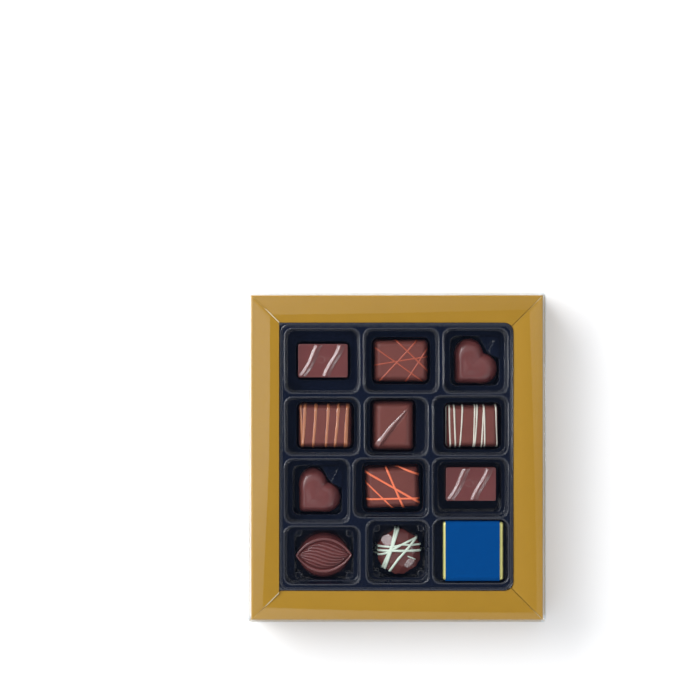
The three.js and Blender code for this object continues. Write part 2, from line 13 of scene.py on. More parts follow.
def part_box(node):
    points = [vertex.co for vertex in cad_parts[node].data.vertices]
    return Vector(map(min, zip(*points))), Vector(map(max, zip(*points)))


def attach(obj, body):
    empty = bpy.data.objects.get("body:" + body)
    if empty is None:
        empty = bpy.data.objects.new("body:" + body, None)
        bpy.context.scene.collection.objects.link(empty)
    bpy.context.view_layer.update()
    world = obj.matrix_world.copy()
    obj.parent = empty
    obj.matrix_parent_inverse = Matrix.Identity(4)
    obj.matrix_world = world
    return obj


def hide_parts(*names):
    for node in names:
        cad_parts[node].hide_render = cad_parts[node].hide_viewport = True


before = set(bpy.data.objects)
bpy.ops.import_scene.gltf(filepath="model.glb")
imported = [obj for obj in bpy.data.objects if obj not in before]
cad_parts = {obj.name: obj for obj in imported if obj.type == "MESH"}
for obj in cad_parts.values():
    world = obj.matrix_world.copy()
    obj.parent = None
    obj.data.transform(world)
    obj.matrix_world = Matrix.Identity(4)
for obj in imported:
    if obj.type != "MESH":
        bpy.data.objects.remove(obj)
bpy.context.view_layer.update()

# Camera
# The photograph looks straight down from about a metre above the table. The middle of the picture
# lies up and to the left of the middle of the box.
MM = 0.001
CAMERA = Vector((-27.0, 61.7, 1124.0))
TRAY_LEVEL = 24.0
PICTURE_SPAN = 401.8

camera_data = bpy.data.cameras.new("camera")
camera_data.sensor_width = 36.0
camera_data.lens = camera_data.sensor_width * (CAMERA.z - TRAY_LEVEL) / PICTURE_SPAN
camera = bpy.data.objects.new("camera", camera_data)
camera.location = CAMERA * MM
bpy.context.scene.collection.objects.link(camera)
bpy.context.scene.camera = camera
bpy.context.scene.view_settings.view_transform = "Standard"

# Table and light
# A white table under a large softbox low at the back left and two small ones at the right. The
# room is pale all round, a little brighter on the left, and dark only straight overhead, where the
# camera hangs. Each band has the height of its direction and its colour.
ROOM_BANDS = [
    (0.00, (0.86, 0.88, 0.92)),
    (0.45, (0.62, 0.63, 0.66)),
    (0.80, (1.05, 1.06, 1.08)),
    (0.966, (1.05, 1.05, 1.05)),
    (0.983, (0.04, 0.05, 0.08)),
    (1.00, (0.03, 0.04, 0.07)),
]
ROOM_LEAN = (-0.5, 0.5, 1.32, 0.65)
TABLE_WHITE = 0.80


def softbox(name, azimuth, elevation, distance, size, power):
    """A rectangular light on a sphere about the middle of the box, turned to face it."""
    data = bpy.data.lights.new(name, "AREA")
    data.shape = "RECTANGLE"
    data.size, data.size_y = size
    data.energy = power
    turn, rise = math.radians(azimuth), math.radians(elevation)
    level = distance * math.cos(rise)
    place = Vector((level * math.cos(turn), level * math.sin(turn), distance * math.sin(rise)))
    light = bpy.data.objects.new(name, data)
    light.location = place
    light.rotation_euler = place.to_track_quat("Z", "Y").to_euler()
    bpy.context.scene.collection.objects.link(light)


softbox("key_softbox", 147.0, 29.0, 1.25, (1.30, 0.62), 22.5)
softbox("right_softbox", 0.0, 30.0, 1.10, (0.12, 0.30), 1.1)
softbox("front_right_softbox", -42.0, 31.0, 1.10, (0.40, 0.30), 2.4)

room = bpy.data.worlds.new("room")
room.use_nodes = True
room_nodes, room_links = room.node_tree.nodes, room.node_tree.links
direction = room_nodes.new("ShaderNodeTexCoord")
height_of = room_nodes.new("ShaderNodeSeparateXYZ")
bands = room_nodes.new("ShaderNodeValToRGB")
while len(bands.color_ramp.elements) < len(ROOM_BANDS):
    bands.color_ramp.elements.new(0.5)
for stop, (place, colour) in zip(bands.color_ramp.elements, ROOM_BANDS):
    stop.position = place
    stop.color = (*colour, 1.0)
brighter_left = room_nodes.new("ShaderNodeMapRange")
for socket, value in zip(("From Min", "From Max", "To Min", "To Max"), ROOM_LEAN):
    brighter_left.inputs[socket].default_value = value
room_links.new(direction.outputs["Generated"], height_of.inputs["Vector"])
room_links.new(height_of.outputs["Z"], bands.inputs["Fac"])
room_links.new(height_of.outputs["X"], brighter_left.inputs["Value"])
room_links.new(bands.outputs["Color"], room_nodes["Background"].inputs["Color"])
room_links.new(brighter_left.outputs["Result"], room_nodes["Background"].inputs["Strength"])
bpy.context.scene.world = room

table_mesh = bpy.data.meshes.new("table")
table_corners = [(-4, -4, 0), (4, -4, 0), (4, 4, 0), (-4, 4, 0)]
table_mesh.from_pydata(table_corners, [], [(0, 1, 2, 3)])
table = bpy.data.objects.new("table", table_mesh)
bpy.context.scene.collection.objects.link(table)
table_finish = bpy.data.materials.new("white_table")
table_finish.use_nodes = True
table_shader = table_finish.node_tree.nodes["Principled BSDF"]
table_shader.inputs["Base Color"].default_value = (*[TABLE_WHITE] * 3, 1.0)
table_shader.inputs["Roughness"].default_value = 0.6
table_mesh.materials.append(table_finish)

# Card base
# A shallow tray folded from one sheet of card, laminated gold outside and plain board inside. Four
# border flaps fold in from the wall tops and meet in mitres; the left one lies over the tray.
BASE_HALF = [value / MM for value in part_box("card_base")[1]]
CARD = 0.6
FOLD = 0.9
FLAP = 17.8
LEFT_FLAP = 16.0
FLAP_DROP = 2.1
LEFT_FLAP_DROP = 0.3
MITRE_GAP = 0.22
DENT = (70.6, 6.0)
DENT_HALF = (0.7, 2.4)
DENT_DEPTH = 0.16
CUT_BEVEL = 0.75
GOLD = (0.385, 0.203, 0.005)
BOARD = (0.85, 0.75, 0.52)


def surface_finish(name, colour, dark, patch, roughness, relief=0.0, grain=0.6, metallic=0.0,
                   gloss=0.5):
    """A finish whose colour drifts down to the share dark of itself, over patches so many mm wide.

    relief is the depth of its fine grain and grain that grain's size, both in mm.
    """
    material = bpy.data.materials.new(name)
    material.use_nodes = True
    nodes, links = material.node_tree.nodes, material.node_tree.links
    shader = nodes["Principled BSDF"]
    place = nodes.new("ShaderNodeTexCoord")
    patches = nodes.new("ShaderNodeTexNoise")
    patches.inputs["Scale"].default_value = 1.0 / (patch * MM)
    patches.inputs["Detail"].default_value = 3.0
    tones = nodes.new("ShaderNodeMix")
    tones.data_type = "RGBA"
    tones.inputs["A"].default_value = (*colour, 1.0)
    tones.inputs["B"].default_value = (*[dark * c for c in colour], 1.0)
    links.new(place.outputs["Object"], patches.inputs["Vector"])
    links.new(patches.outputs["Fac"], tones.inputs["Factor"])
    links.new(tones.outputs["Result"], shader.inputs["Base Color"])
    shader.inputs["Roughness"].default_value = roughness
    shader.inputs["Metallic"].default_value = metallic
    shader.inputs["Specular IOR Level"].default_value = gloss
    if relief:
        fine = nodes.new("ShaderNodeTexNoise")
        fine.inputs["Scale"].default_value = 1.0 / (grain * MM)
        fine.inputs["Detail"].default_value = 4.0
        bump = nodes.new("ShaderNodeBump")
        bump.inputs["Distance"].default_value = relief * MM
        bump.inputs["Strength"].default_value = 1.0
        links.new(place.outputs["Object"], fine.inputs["Vector"])
        links.new(fine.outputs["Fac"], bump.inputs["Height"])
        links.new(bump.outputs["Normal"], shader.inputs["Normal"])
    return material


def make_piece(name, parts, finishes, nodes, sharp=None):
    """One piece from parts, each an array of points in mm and its groups of faces.

    A group is an array of face corners and the number of its finish. Points that meet are merged.
    Shading is smooth, but for edges sharper than the angle given in degrees.
    """
    mesh = bpy.data.meshes.new(name)
    points, faces, numbers, start = [], [], [], 0
    for part_points, groups in parts:
        flat = np.asarray(part_points, float).reshape(-1, 3)
        for corners, number in groups:
            faces += (corners + start).tolist()
            numbers += [number] * len(corners)
        points.append(flat)
        start += len(flat)
    mesh.from_pydata((np.concatenate(points) * MM).tolist(), [], faces)
    mesh.polygons.foreach_set("material_index", numbers)
    for finish in finishes:
        mesh.materials.append(finish)
    merged = bmesh.new()
    merged.from_mesh(mesh)
    bmesh.ops.remove_doubles(merged, verts=merged.verts, dist=2e-6)
    merged.to_mesh(mesh)
    merged.free()
    mesh.polygons.foreach_set("use_smooth", [True] * len(mesh.polygons))
    if sharp is not None:
        mesh.set_sharp_from_angle(angle=math.radians(sharp))
    piece = bpy.data.objects.new(name, mesh)
    bpy.context.scene.collection.objects.link(piece)
    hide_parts(*nodes)
    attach(piece, "root")
    return piece


def grid_quads(rows, columns):
    """Corners of the quads of a grid whose points run along its columns first."""
    corner = np.arange(rows - 1)[:, None] * columns + np.arange(columns - 1)
    return np.stack([corner, corner + columns, corner + columns + 1, corner + 1], -1).reshape(-1, 4)


def end_cap(ring, flip):
    """Triangles across a ring of points that may be hollow in outline, wound to face either way."""
    corners = np.array(tessellate_polygon([[Vector(point) for point in ring]]))
    a, b, c = (ring[corners[:, k]] for k in range(3))
    side = np.cross(b - a, c - a)[:, 1]
    wrong = (side > 0) == flip
    corners[wrong] = corners[wrong][:, ::-1]
    return corners


def quarter_oval(steps):
    """Points of a quarter oval as shares from 0 to 1: how far in from the side and how far up."""
    turn = np.linspace(0, math.pi / 2, steps)
    return 1 - np.cos(turn), np.sin(turn)


def base_side(across, along, flap, drop, gap, bevel, dent=None):
    """One wall and its flap, as a closed section carried along the right-hand side.

    The section is given by its depth in from the wall's face and its height. Each point runs out to
    the mitre, half the length less its own depth, and a slow wave lifts the flap towards its edge.
    """
    inward, up = quarter_oval(6)
    share = np.linspace(0, 1, 30)
    under_share = share[::-1][:-1]
    wall = np.linspace(FOLD, BASE_HALF[2] - FOLD, 8)[1:-1]
    flap_depth = FOLD + (flap - FOLD) * share
    flap_height = BASE_HALF[2] - drop * share + 0.3 * np.sin(math.pi * share) * min(drop, 1)
    depth = np.concatenate([
        FOLD * (1 - up), 0 * wall, FOLD * inward, flap_depth[1:],
        FOLD + (flap - FOLD) * under_share, [CARD, CARD, FOLD],
    ])
    height = np.concatenate([
        FOLD * inward, wall, BASE_HALF[2] - FOLD + FOLD * up, flap_height[1:],
        flap_height[::-1][:-1] - CARD, [BASE_HALF[2] - 2 * CARD, FOLD, CARD],
    ])
    outside = len(up) * 2 + len(wall) + len(share) - 1
    under = np.arange(len(depth)) >= outside
    reach = along - depth - gap * np.clip(depth / 1.5, 0, 1) + bevel * under * (depth > 2 * CARD)
    station = np.linspace(-1, 1, 90)[:, None]
    y = station * reach
    lift = np.clip(depth / flap, 0, 1) * (height > 15)
    wave = 0.10 * np.sin(y / 19.0 + across) + 0.05 * np.sin(y / 7.3 + 2 * across)
    z = height + lift * wave
    x = across - depth + 0 * y
    if dent is not None:
        across_dent, along_dent = (x - dent[0]) / DENT_HALF[0], (y - dent[1]) / DENT_HALF[1]
        z = z - DENT_DEPTH * np.exp(-across_dent ** 2 - along_dent ** 2) * lift
    rings = np.stack([x, y, z], -1)
    closed = np.concatenate([rings, rings[:, :1]], 1)
    quads = grid_quads(len(station), closed.shape[1])
    pale = (quads[:, 0] % closed.shape[1]) >= outside - 1
    ends = [(rings[0], 0, True), (rings[-1], (len(station) - 1) * closed.shape[1], False)]
    caps = np.concatenate([end_cap(ring, flip) + first for ring, first, flip in ends])
    return closed, [(quads[~pale], 0), (quads[pale], 1), (caps, 1)]


def turned(part, quarter):
    """The same part turned about the upright axis by quarter turns."""
    points, groups = part
    angle = quarter * math.pi / 2
    x, y, z = np.moveaxis(points, -1, 0)
    cos, sin = round(math.cos(angle)), round(math.sin(angle))
    return np.stack([x * cos - y * sin, x * sin + y * cos, z], -1), groups


def round_cornered(half_width, half_length, corner, corner_steps=10, side_steps=8):
    """Plan points of rectangles with round corners, anticlockwise, as (rings, points, 2).

    Each corner is a quarter circle and each side between two of them is split evenly.
    """
    width, length = (np.asarray(value, float).reshape(-1, 1) for value in (half_width, half_length))
    radii = np.asarray(corner, float)
    radii = np.broadcast_to(radii[:, None] if radii.ndim == 1 else radii, (len(width), 4))
    angles = np.linspace(0, math.pi / 2, corner_steps + 1)
    arcs = []
    for turn, (right, back) in enumerate([(1, 1), (-1, 1), (-1, -1), (1, -1)]):
        radius = radii[:, turn:turn + 1]
        x = right * (width - radius) + radius * np.cos(angles + turn * math.pi / 2)
        y = back * (length - radius) + radius * np.sin(angles + turn * math.pi / 2)
        arcs.append(np.stack([x, y], -1))
    share = np.linspace(0, 1, side_steps + 1)[1:-1, None]
    pieces = []
    for arc, following in zip(arcs, arcs[1:] + arcs[:1]):
        pieces += [arc, arc[:, -1:] + (following[:, :1] - arc[:, -1:]) * share]
    return np.concatenate(pieces, 1)


def at_height(plan, height):
    """Plan rings (levels, points, 2) given a height for each level or for each point."""
    height = np.asarray(height, float)
    z = np.broadcast_to(height if height.ndim == 2 else height[:, None], plan.shape[:2])
    return np.concatenate([plan, z[..., None]], -1)


def loft(rings, foot=True, crown=True, number=0):
    """A skin over rings (levels, points, 3), with a fan to the middle of each end that is closed.

    Rings run anticlockwise and from the lowest up, so the skin faces out; from the top down it
    faces in.
    """
    levels, around = rings.shape[:2]
    here = np.arange(around)
    after = np.roll(here, -1)
    base = np.arange(levels - 1)[:, None] * around
    quads = np.stack([base + here, base + after, base + around + after, base + around + here], -1)
    groups = [(quads.reshape(-1, 4), number)]
    points = [rings.reshape(-1, 3)]
    total = levels * around
    if foot:
        points.append(rings[0].mean(0, keepdims=True))
        groups.append((np.stack([np.full(around, total), after, here], -1), number))
        total += 1
    if crown:
        last = (levels - 1) * around
        points.append(rings[-1].mean(0, keepdims=True))
        groups.append((np.stack([np.full(around, total), last + here, last + after], -1), number))
    return np.concatenate(points), groups


gold_card = surface_finish("gold_card", GOLD, 0.93, 9.0, 0.42, 0.010, 0.5, 0.25)
pale_board = surface_finish("pale_board", BOARD, 0.85, 4.0, 0.8, 0.03)
width_half, length_half = BASE_HALF[:2]
floor_slab = round_cornered([width_half - FOLD / 2] * 2, [length_half - FOLD / 2] * 2, 0.3, 2, 1)
base_parts = [
    base_side(width_half, length_half, FLAP, FLAP_DROP, MITRE_GAP, 0.0, dent=DENT),
    turned(base_side(length_half, width_half, FLAP, FLAP_DROP, MITRE_GAP, 0.0), 1),
    turned(base_side(width_half, length_half, LEFT_FLAP, LEFT_FLAP_DROP, -0.1, CUT_BEVEL), 2),
    turned(base_side(length_half, width_half, FLAP, FLAP_DROP, MITRE_GAP, 0.0), 3),
    loft(at_height(floor_slab, [0.0, CARD])),
]
make_piece("folded_card_base", base_parts, [gold_card, pale_board], ["card_base"], 35)

# Tray
# One sheet of glossy black plastic, formed hot into twelve cavities. Every edge is rounded where
# the sheet has bent, and a bead stiffens the flange that hangs on the card.
TRAY_TOP = 23.9
SHEET = 0.35
FLANGE = (-71.0, 66.9, -76.6, 77.5)
FLANGE_CORNERS = [[5.4, 3.3, 3.3, 5.4]]
FLANGE_BEVEL = 0.5
BEVEL_TILT = 30.0
BEAD = (-66.9, 66.0, -75.8, 76.4)
BEAD_CORNER = 4.8
BEAD_WIDTH = 1.1
BEAD_RISE = 0.16
RIM_HALF = 0.30
RIM_RISE = 0.18
RIM_ROUND = 0.15
RIM_CORNER = 5.0
POCKET_LIP = 0.12
FILLET = 0.25
FLAT_STRIP = 0.03
WALL_DRAFT = 1.2
POCKET_DRAFT = 0.7
SQUARE_DRAFT = 0.9
LEDGE = TRAY_TOP - 9.0
POCKET_FLOOR = 3.9
SQUARE_FLOOR = 17.9
CAVITY_CORNER = 3.8
POST_HALF = 2.7
POST_INWARD = 1.9
POST_DROP = 3.0
BLACK = (0.0044, 0.0070, 0.0175)
COLUMN_LEFT, COLUMN_RIGHT = -43.0, 42.1

# Middle of each cavity, size of its rim, size of its pocket and how far the pocket is off centre.
CAVITIES = {
    "back_left": ((COLUMN_LEFT, 55.5), (43.2, 37.4), (31.6, 22.4), (0.4, 0.0)),
    "back_middle": ((2.4, 55.5), (43.3, 37.4), (33.8, 27.2), (0.0, 0.0)),
    "back_right": ((45.05, 55.5), (37.3, 37.6), (28.4, 28.8), (0.0, 0.0)),
    "second_left": ((COLUMN_LEFT, 17.9), (43.2, 33.6), (33.4, 27.4), (1.7, 0.1)),
    "second_middle": ((-0.5, 17.7), (36.7, 34.0), (26.4, 31.0), (-1.7, 0.5)),
    "second_right": ((COLUMN_RIGHT, 18.3), (43.5, 34.4), (33.4, 27.4), (1.7, -0.5)),
    "third_left": ((-45.9, -19.3), (37.6, 37.2), (28.4, 28.6), (0.0, 0.0)),
    "third_middle": ((-3.5, -17.5), (43.6, 34.3), (35.2, 29.2), (1.1, -0.1)),
    "third_right": ((COLUMN_RIGHT, -17.3), (43.8, 34.2), (36.6, 28.6), (0.0, -0.3)),
    "front_left": ((COLUMN_LEFT, -56.2), (43.7, 33.7), (34.0, 28.8), (0.9, -0.7)),
    "front_middle": ((0.3, -54.2), (36.2, 36.7), (30.0, 30.4), (1.0, -0.6)),
    "front_right": ((42.3, -53.8), (43.8, 37.3), None, (1.1, 0.0)),
}


def between_edges(edges, inset, corner, **steps):
    """Round-cornered rings between four edges (left, right, front, back), drawn in by each inset."""
    left, right, front, back = edges
    inset = np.asarray(inset, float)
    plan = round_cornered((right - left) / 2 - inset, (back - front) / 2 - inset, corner, **steps)
    return plan + [(left + right) / 2, (front + back) / 2]


def cavity_rings(middle, rim, pocket, shift):
    """Rings of one cavity from the web in: a narrow raised rim, the wall, ledge, pocket and floor.

    The rim is a low gable with even slopes on both sides. Quarter rounds join the rest, each with a
    narrow flat strip beside it that keeps the shading of the flats flat.
    """
    inward, up = quarter_oval(7)
    share = np.array([0.0, 0.15, 0.9])
    floor = LEDGE if pocket else SQUARE_FLOOR
    draft = WALL_DRAFT if pocket else SQUARE_DRAFT
    inset = np.concatenate([
        [-RIM_HALF - FLAT_STRIP], RIM_HALF * (share - 1), RIM_HALF * (1 - share[::-1]),
        RIM_HALF + RIM_ROUND * up[1:], draft + FILLET * inward, [draft + FILLET + FLAT_STRIP],
    ])
    height = np.concatenate([
        [TRAY_TOP], TRAY_TOP + RIM_RISE * share, TRAY_TOP + RIM_RISE * share[::-1],
        TRAY_TOP - RIM_ROUND * inward[1:], floor + FILLET * (1 - up), [floor],
    ])
    plan = round_cornered(rim[0] / 2 - inset, rim[1] / 2 - inset, RIM_CORNER - inset / 2, 16)
    rings = at_height(plan, height)
    if pocket:
        inset = np.concatenate([
            [-POCKET_LIP - FLAT_STRIP], POCKET_LIP * (up - 1),
            POCKET_DRAFT + FILLET * inward, [POCKET_DRAFT + FILLET + FLAT_STRIP],
        ])
        height = np.concatenate([
            [floor], floor - POCKET_LIP * inward, POCKET_FLOOR + FILLET * (1 - up), [POCKET_FLOOR],
        ])
        plan = round_cornered(pocket[0] / 2 - inset, pocket[1] / 2 - inset, CAVITY_CORNER, 16)
        rings = np.concatenate([rings, at_height(plan + np.array(shift), height)])
    return rings + [*middle, 0.0]


def flange_rings():
    """Rings from the flange's edge in: a bevelled edge, the bead's half oval, and a flat inside it."""
    steps = {"corner_steps": 14, "side_steps": 24}
    edge = between_edges(FLANGE, [0.0, FLANGE_BEVEL], FLANGE_CORNERS, **steps)
    over = np.linspace(0, math.pi, 13)
    across = BEAD_WIDTH / 2 * (1 - np.cos(over))
    inset = np.concatenate([[-0.25], across, [BEAD_WIDTH + 0.05]])
    bead = between_edges(BEAD, inset, BEAD_CORNER - inset, **steps)
    rise = np.concatenate([[0.0], BEAD_RISE * np.sin(over), [0.0]])
    drop = FLANGE_BEVEL * math.tan(math.radians(BEVEL_TILT))
    edge = at_height(edge, [TRAY_TOP - drop, TRAY_TOP])
    return np.concatenate([edge, at_height(bead, TRAY_TOP + rise)])


def sheet_web(outline, holes):
    """The flat web as triangles between an outline and the cavities' rims, all facing up.

    A constrained triangulation joins every rim; the triangles inside a rim or outside are dropped.
    """
    loops = [outline, *holes]
    points = np.concatenate(loops)[:, :2]
    counts = np.cumsum([0] + [len(loop) for loop in loops])
    edges = [(first + k, first + (k + 1) % (last - first))
             for first, last in zip(counts, counts[1:]) for k in range(last - first)]
    flat, _, faces, _, _, _ = delaunay_2d_cdt([Vector(point) for point in points], edges, [], 1, 1e-5)
    flat, faces = np.array([tuple(point) for point in flat]), np.array(faces)
    middle = flat[faces].mean(1)
    kept = np.ones(len(faces), bool)
    corner = RIM_CORNER + (RIM_HALF + FLAT_STRIP) / 2
    for loop in holes:
        low, high = loop[:, :2].min(0), loop[:, :2].max(0)
        over = np.maximum(np.abs(middle - (low + high) / 2) - ((high - low) / 2 - corner), 0)
        kept &= np.hypot(*over.T) > corner - 0.004
    corners = faces[kept]
    a, b, c = (flat[corners[:, k]] for k in range(3))
    clockwise = (b - a)[:, 0] * (c - a)[:, 1] < (b - a)[:, 1] * (c - a)[:, 0]
    corners[clockwise] = corners[clockwise][:, ::-1]
    return np.column_stack([flat, np.full(len(flat), TRAY_TOP)]), [(corners, 0)]


black_plastic = surface_finish("black_plastic", BLACK, 0.825, 14.0, 0.11, gloss=0.8)
cavities = {name: cavity_rings(*sizes) for name, sizes in CAVITIES.items()}
flange = flange_rings()
tray_parts = [loft(rings, foot=False, crown=True) for rings in cavities.values()]
tray_parts.append(loft(flange, foot=False, crown=False))
tray_parts.append(sheet_web(flange[-1], [rings[0] for rings in cavities.values()]))
tray = make_piece("formed_tray", tray_parts, [black_plastic], ["tray"])
sheet = tray.modifiers.new("sheet", "SOLIDIFY")
sheet.thickness = SHEET * MM
sheet.offset = -1.0


# A prop's corners in plan, from the pocket's corner: a loop round its outline, anticlockwise from
# the front right, then two that end the slanting facet inside its flat top.
PROP_LOOP = [(0.0, -12.6), (0.0, -1.6), (-2.5, 0.0), (-11.8, 0.0), (-8.6, -6.3), (-6.1, -9.8)]
PROP_INNER = [(-2.5, -1.7), (-5.0, -6.5)]
PROP_RISE = 0.6
# The slanting facet's three lower corners, and how far each lies below the top.
PROP_SLANT = [(-8.6, -6.3, 0.35), (-6.1, -9.8, 0.35), (-5.0, -6.5, 0.22)]
# Corners are counted from 0 round the foot, 6 round the top, 12 inside it and 14 in the slant.
PROP_TOP = [(9, 10, 12), (8, 9, 12), (7, 8, 12), (6, 7, 12), (6, 12, 13), (6, 13, 11)]
PROP_NICHE = [(14, 15, 16), (14, 16, 12), (10, 14, 12), (13, 12, 16), (13, 16, 15), (13, 15, 11)]
PROP_WALLS = [(0, 1, 7), (0, 7, 6), (1, 2, 8), (1, 8, 7), (2, 3, 9), (2, 9, 8), (3, 4, 14), (3, 14, 10),
              (3, 10, 9), (4, 5, 15), (4, 15, 14), (5, 0, 15), (15, 0, 6), (15, 6, 11)]
PROP_FOOT = [(0, 2, 1), (0, 3, 2), (0, 4, 3), (0, 5, 4)]


def heart_prop(cavity):
    """A prop in a pocket's back right corner, flat but for one slanting facet towards the notch."""
    (x, y), _, pocket, _ = CAVITIES[cavity]
    top = LEDGE + PROP_RISE
    loop, inner, slant = np.array(PROP_LOOP), np.array(PROP_INNER), np.array(PROP_SLANT)
    points = np.concatenate([
        np.column_stack([loop, np.full(len(loop), POCKET_FLOOR)]),
        np.column_stack([loop, np.full(len(loop), top)]),
        np.column_stack([inner, np.full(len(inner), top)]),
        slant * [1, 1, -1] + [0, 0, top],
    ])
    points = points + [x + pocket[0] / 2 + 0.1, y + pocket[1] / 2 - 0.4, 0.0]
    return points, [(np.array(PROP_TOP + PROP_NICHE + PROP_WALLS + PROP_FOOT), 0)]


def corner_post(cavity, right, back):
    """A low post in one corner of a pocket, a rounded square with a soft top."""
    (x, y), _, pocket, shift = CAVITIES[cavity]
    inward, up = quarter_oval(5)
    inset = np.concatenate([[0.0], 0.3 + 0.8 * inward, [1.7]])
    half = POST_HALF - inset
    plan = round_cornered(half, half, np.maximum(1.4 - inset / 2, 0.4), 5, 3)
    place = [x + shift[0] + right * (pocket[0] / 2 - POST_INWARD),
             y + shift[1] + back * (pocket[1] / 2 - POST_INWARD)]
    top = LEDGE - POST_DROP
    height = np.concatenate([[POCKET_FLOOR], top - 0.8 + 0.8 * up, [top - 0.5]])
    return loft(at_height(plan + place, height))


def soften(piece, width, angle):
    """Round every edge of a piece that is sharper than the angle, by the width in mm."""
    rounding = piece.modifiers.new("rounding", "BEVEL")
    rounding.width = width * MM
    rounding.segments = 3
    rounding.limit_method = "ANGLE"
    rounding.angle_limit = math.radians(angle)
    rounding.harden_normals = True


corners = [(1, 1), (-1, 1), (-1, -1), (1, -1)]
props = [heart_prop("back_right"), heart_prop("third_left")]
props += [corner_post(name, *corner) for name in ("front_left", "front_middle") for corner in corners]
tray_props = make_piece("tray_props", props, [black_plastic], ["tray"])
soften(tray_props, 0.22, 25.0)

# Coated blocks
# Cut slabs of filling run through a curtain of dark chocolate: a small foot where the coating
# pooled, nearly upright sides, round shoulders and a faintly rippled top.
PRALINE_BASE = POCKET_FLOOR + 0.3
BLOCK_HEIGHT = 15.0
BLOCK_EDGE = 3.3
BLOCK_CORNER = 2.1
BLOCK_FOOT = 0.7
SHOULDER_FALL = 1.7
CHOCOLATE = (0.158, 0.047, 0.038)


def uneven(x, y, size, seed):
    """Soft unevenness about zero: the mean of six plane waves of seeded direction and phase."""
    draw = np.random.default_rng(seed)
    total = 0.0
    for _ in range(6):
        angle, phase = draw.uniform(0, 2 * math.pi, 2)
        number = 2 * math.pi / (size * draw.uniform(0.7, 1.6))
        total = total + np.sin(number * (x * math.cos(angle) + y * math.sin(angle)) + phase)
    return total / 6


def block_rings(width, length, height, edge, corner, top_relief, steps=(16, 16), shrinks=46):
    """Rings of a block from the foot up: flared foot, bulging sides, shoulders of a quarter oval.

    Above the shoulders the last ring shrinks to the middle, where top_relief(x, y) is added.
    """
    inward, up = quarter_oval(14)
    share = np.linspace(0, 1, 9)[1:]
    side_top = height - SHOULDER_FALL * edge
    inset = np.concatenate([
        [0.3, 0.05, 0.0, 0.1, 0.35, 0.55], BLOCK_FOOT - 0.22 * np.sin(math.pi * share),
        BLOCK_FOOT + edge * inward[1:],
    ])
    level = np.concatenate([
        [0.0, 0.15, 0.5, 0.9, 1.4, 1.9], 2.2 + (side_top - 2.2) * share,
        side_top + SHOULDER_FALL * edge * up[1:],
    ])
    plan = round_cornered(width / 2 - inset, length / 2 - inset, corner, *steps)
    shrink = np.linspace(1, 0.02, shrinks)[1:, None, None]
    plan = np.concatenate([plan, plan[-1] * shrink])
    level = np.concatenate([level, np.full(len(shrink), height)])
    x, y = plan[..., 0], plan[..., 1]
    fade = np.clip(level / height, 0, 1)[:, None] ** 6
    sides = 0.10 * uneven(x + y, level[:, None] + y - x, 8.0, int(width * 10))
    outward = plan / np.maximum(np.linalg.norm(plan, axis=-1, keepdims=True), 1e-6)
    plan = plan + outward * (sides * (1 - fade))[..., None]
    z = level[:, None] + fade * top_relief(x, y)
    return at_height(plan, z)


def rippled(seed, depth=0.10, size=9.0):
    """The faint ripple and crown of a coated top."""
    return lambda x, y: depth * uneven(x, y, size, seed) + 0.25 - 0.0012 * (x * x + y * y)


def on_block(width, length, height, edge, corner):
    """Where a thread lies on a block, for any plan point: its place and the way out of the surface.

    The depth inside the round-cornered outline sets the height on the shoulder's quarter oval. A
    point that lies outside the outline hangs down the side by as much as it is outside.
    """
    def surface(x, y):
        inner_x, inner_y = width / 2 - BLOCK_FOOT - corner, length / 2 - BLOCK_FOOT - corner
        over_x, over_y = np.abs(x) - inner_x, np.abs(y) - inner_y
        out_x, out_y = np.maximum(over_x, 0), np.maximum(over_y, 0)
        beyond = np.hypot(out_x, out_y)
        depth = corner - beyond - np.minimum(np.maximum(over_x, over_y), 0)
        long = np.maximum(beyond, 1e-9)
        along_x = np.where(beyond > 0, out_x / long, over_x >= over_y) * np.sign(x)
        along_y = np.where(beyond > 0, out_y / long, over_y > over_x) * np.sign(y)
        shy = np.clip((edge - depth) / edge, 0, 1)
        rise = np.sqrt(1 - shy ** 2)
        outside = np.minimum(depth, 0)
        level = height - SHOULDER_FALL * edge * (1 - rise) + outside
        place = np.stack([x + along_x * outside, y + along_y * outside, level], -1)
        steep = SHOULDER_FALL * shy
        facing = np.stack([along_x * steep, along_y * steep, rise + 1e-6], -1)
        return place, facing / np.linalg.norm(facing, axis=-1, keepdims=True)
    return surface


def place_rings(points, middle, turn=0.0):
    """Points about a praline's own middle, turned by degrees and put where the praline stands."""
    angle = math.radians(turn)
    x, y, z = np.moveaxis(points, -1, 0)
    return np.stack([
        middle[0] + x * math.cos(angle) - y * math.sin(angle),
        middle[1] + x * math.sin(angle) + y * math.cos(angle),
        z + PRALINE_BASE,
    ], -1)


def praline_middle(cavity, offset=(0.0, 0.0)):
    """The middle of the pocket that holds a praline, moved by the praline's own offset."""
    (x, y), _, _, shift = CAVITIES[cavity]
    return x + shift[0] + offset[0], y + shift[1] + offset[1]


chocolate = surface_finish("dark_chocolate", CHOCOLATE, 0.86, 7.0, 0.40, 0.010, 0.9, gloss=0.25)


def praline_piece(name, node, cavity, lofts, finish, offset=(0.0, 0.0), turn=0.0, sharp=None):
    """One piece from the rings of one or more closed skins, put where the praline stands."""
    middle = praline_middle(cavity, offset)
    parts = [loft(place_rings(rings, middle, turn)) for rings in lofts]
    make_piece(name, parts, [finish], [node], sharp)


def coated_block(name, cavity, width, length, relief, height=BLOCK_HEIGHT, edge=BLOCK_EDGE, turn=0.0,
                 steps=(16, 16), shrinks=46):
    """One coated block in its pocket."""
    rings = block_rings(width, length, height, edge, BLOCK_CORNER, relief, steps, shrinks)
    praline_piece(name + "_coating", name, cavity, [rings], chocolate, turn=turn)


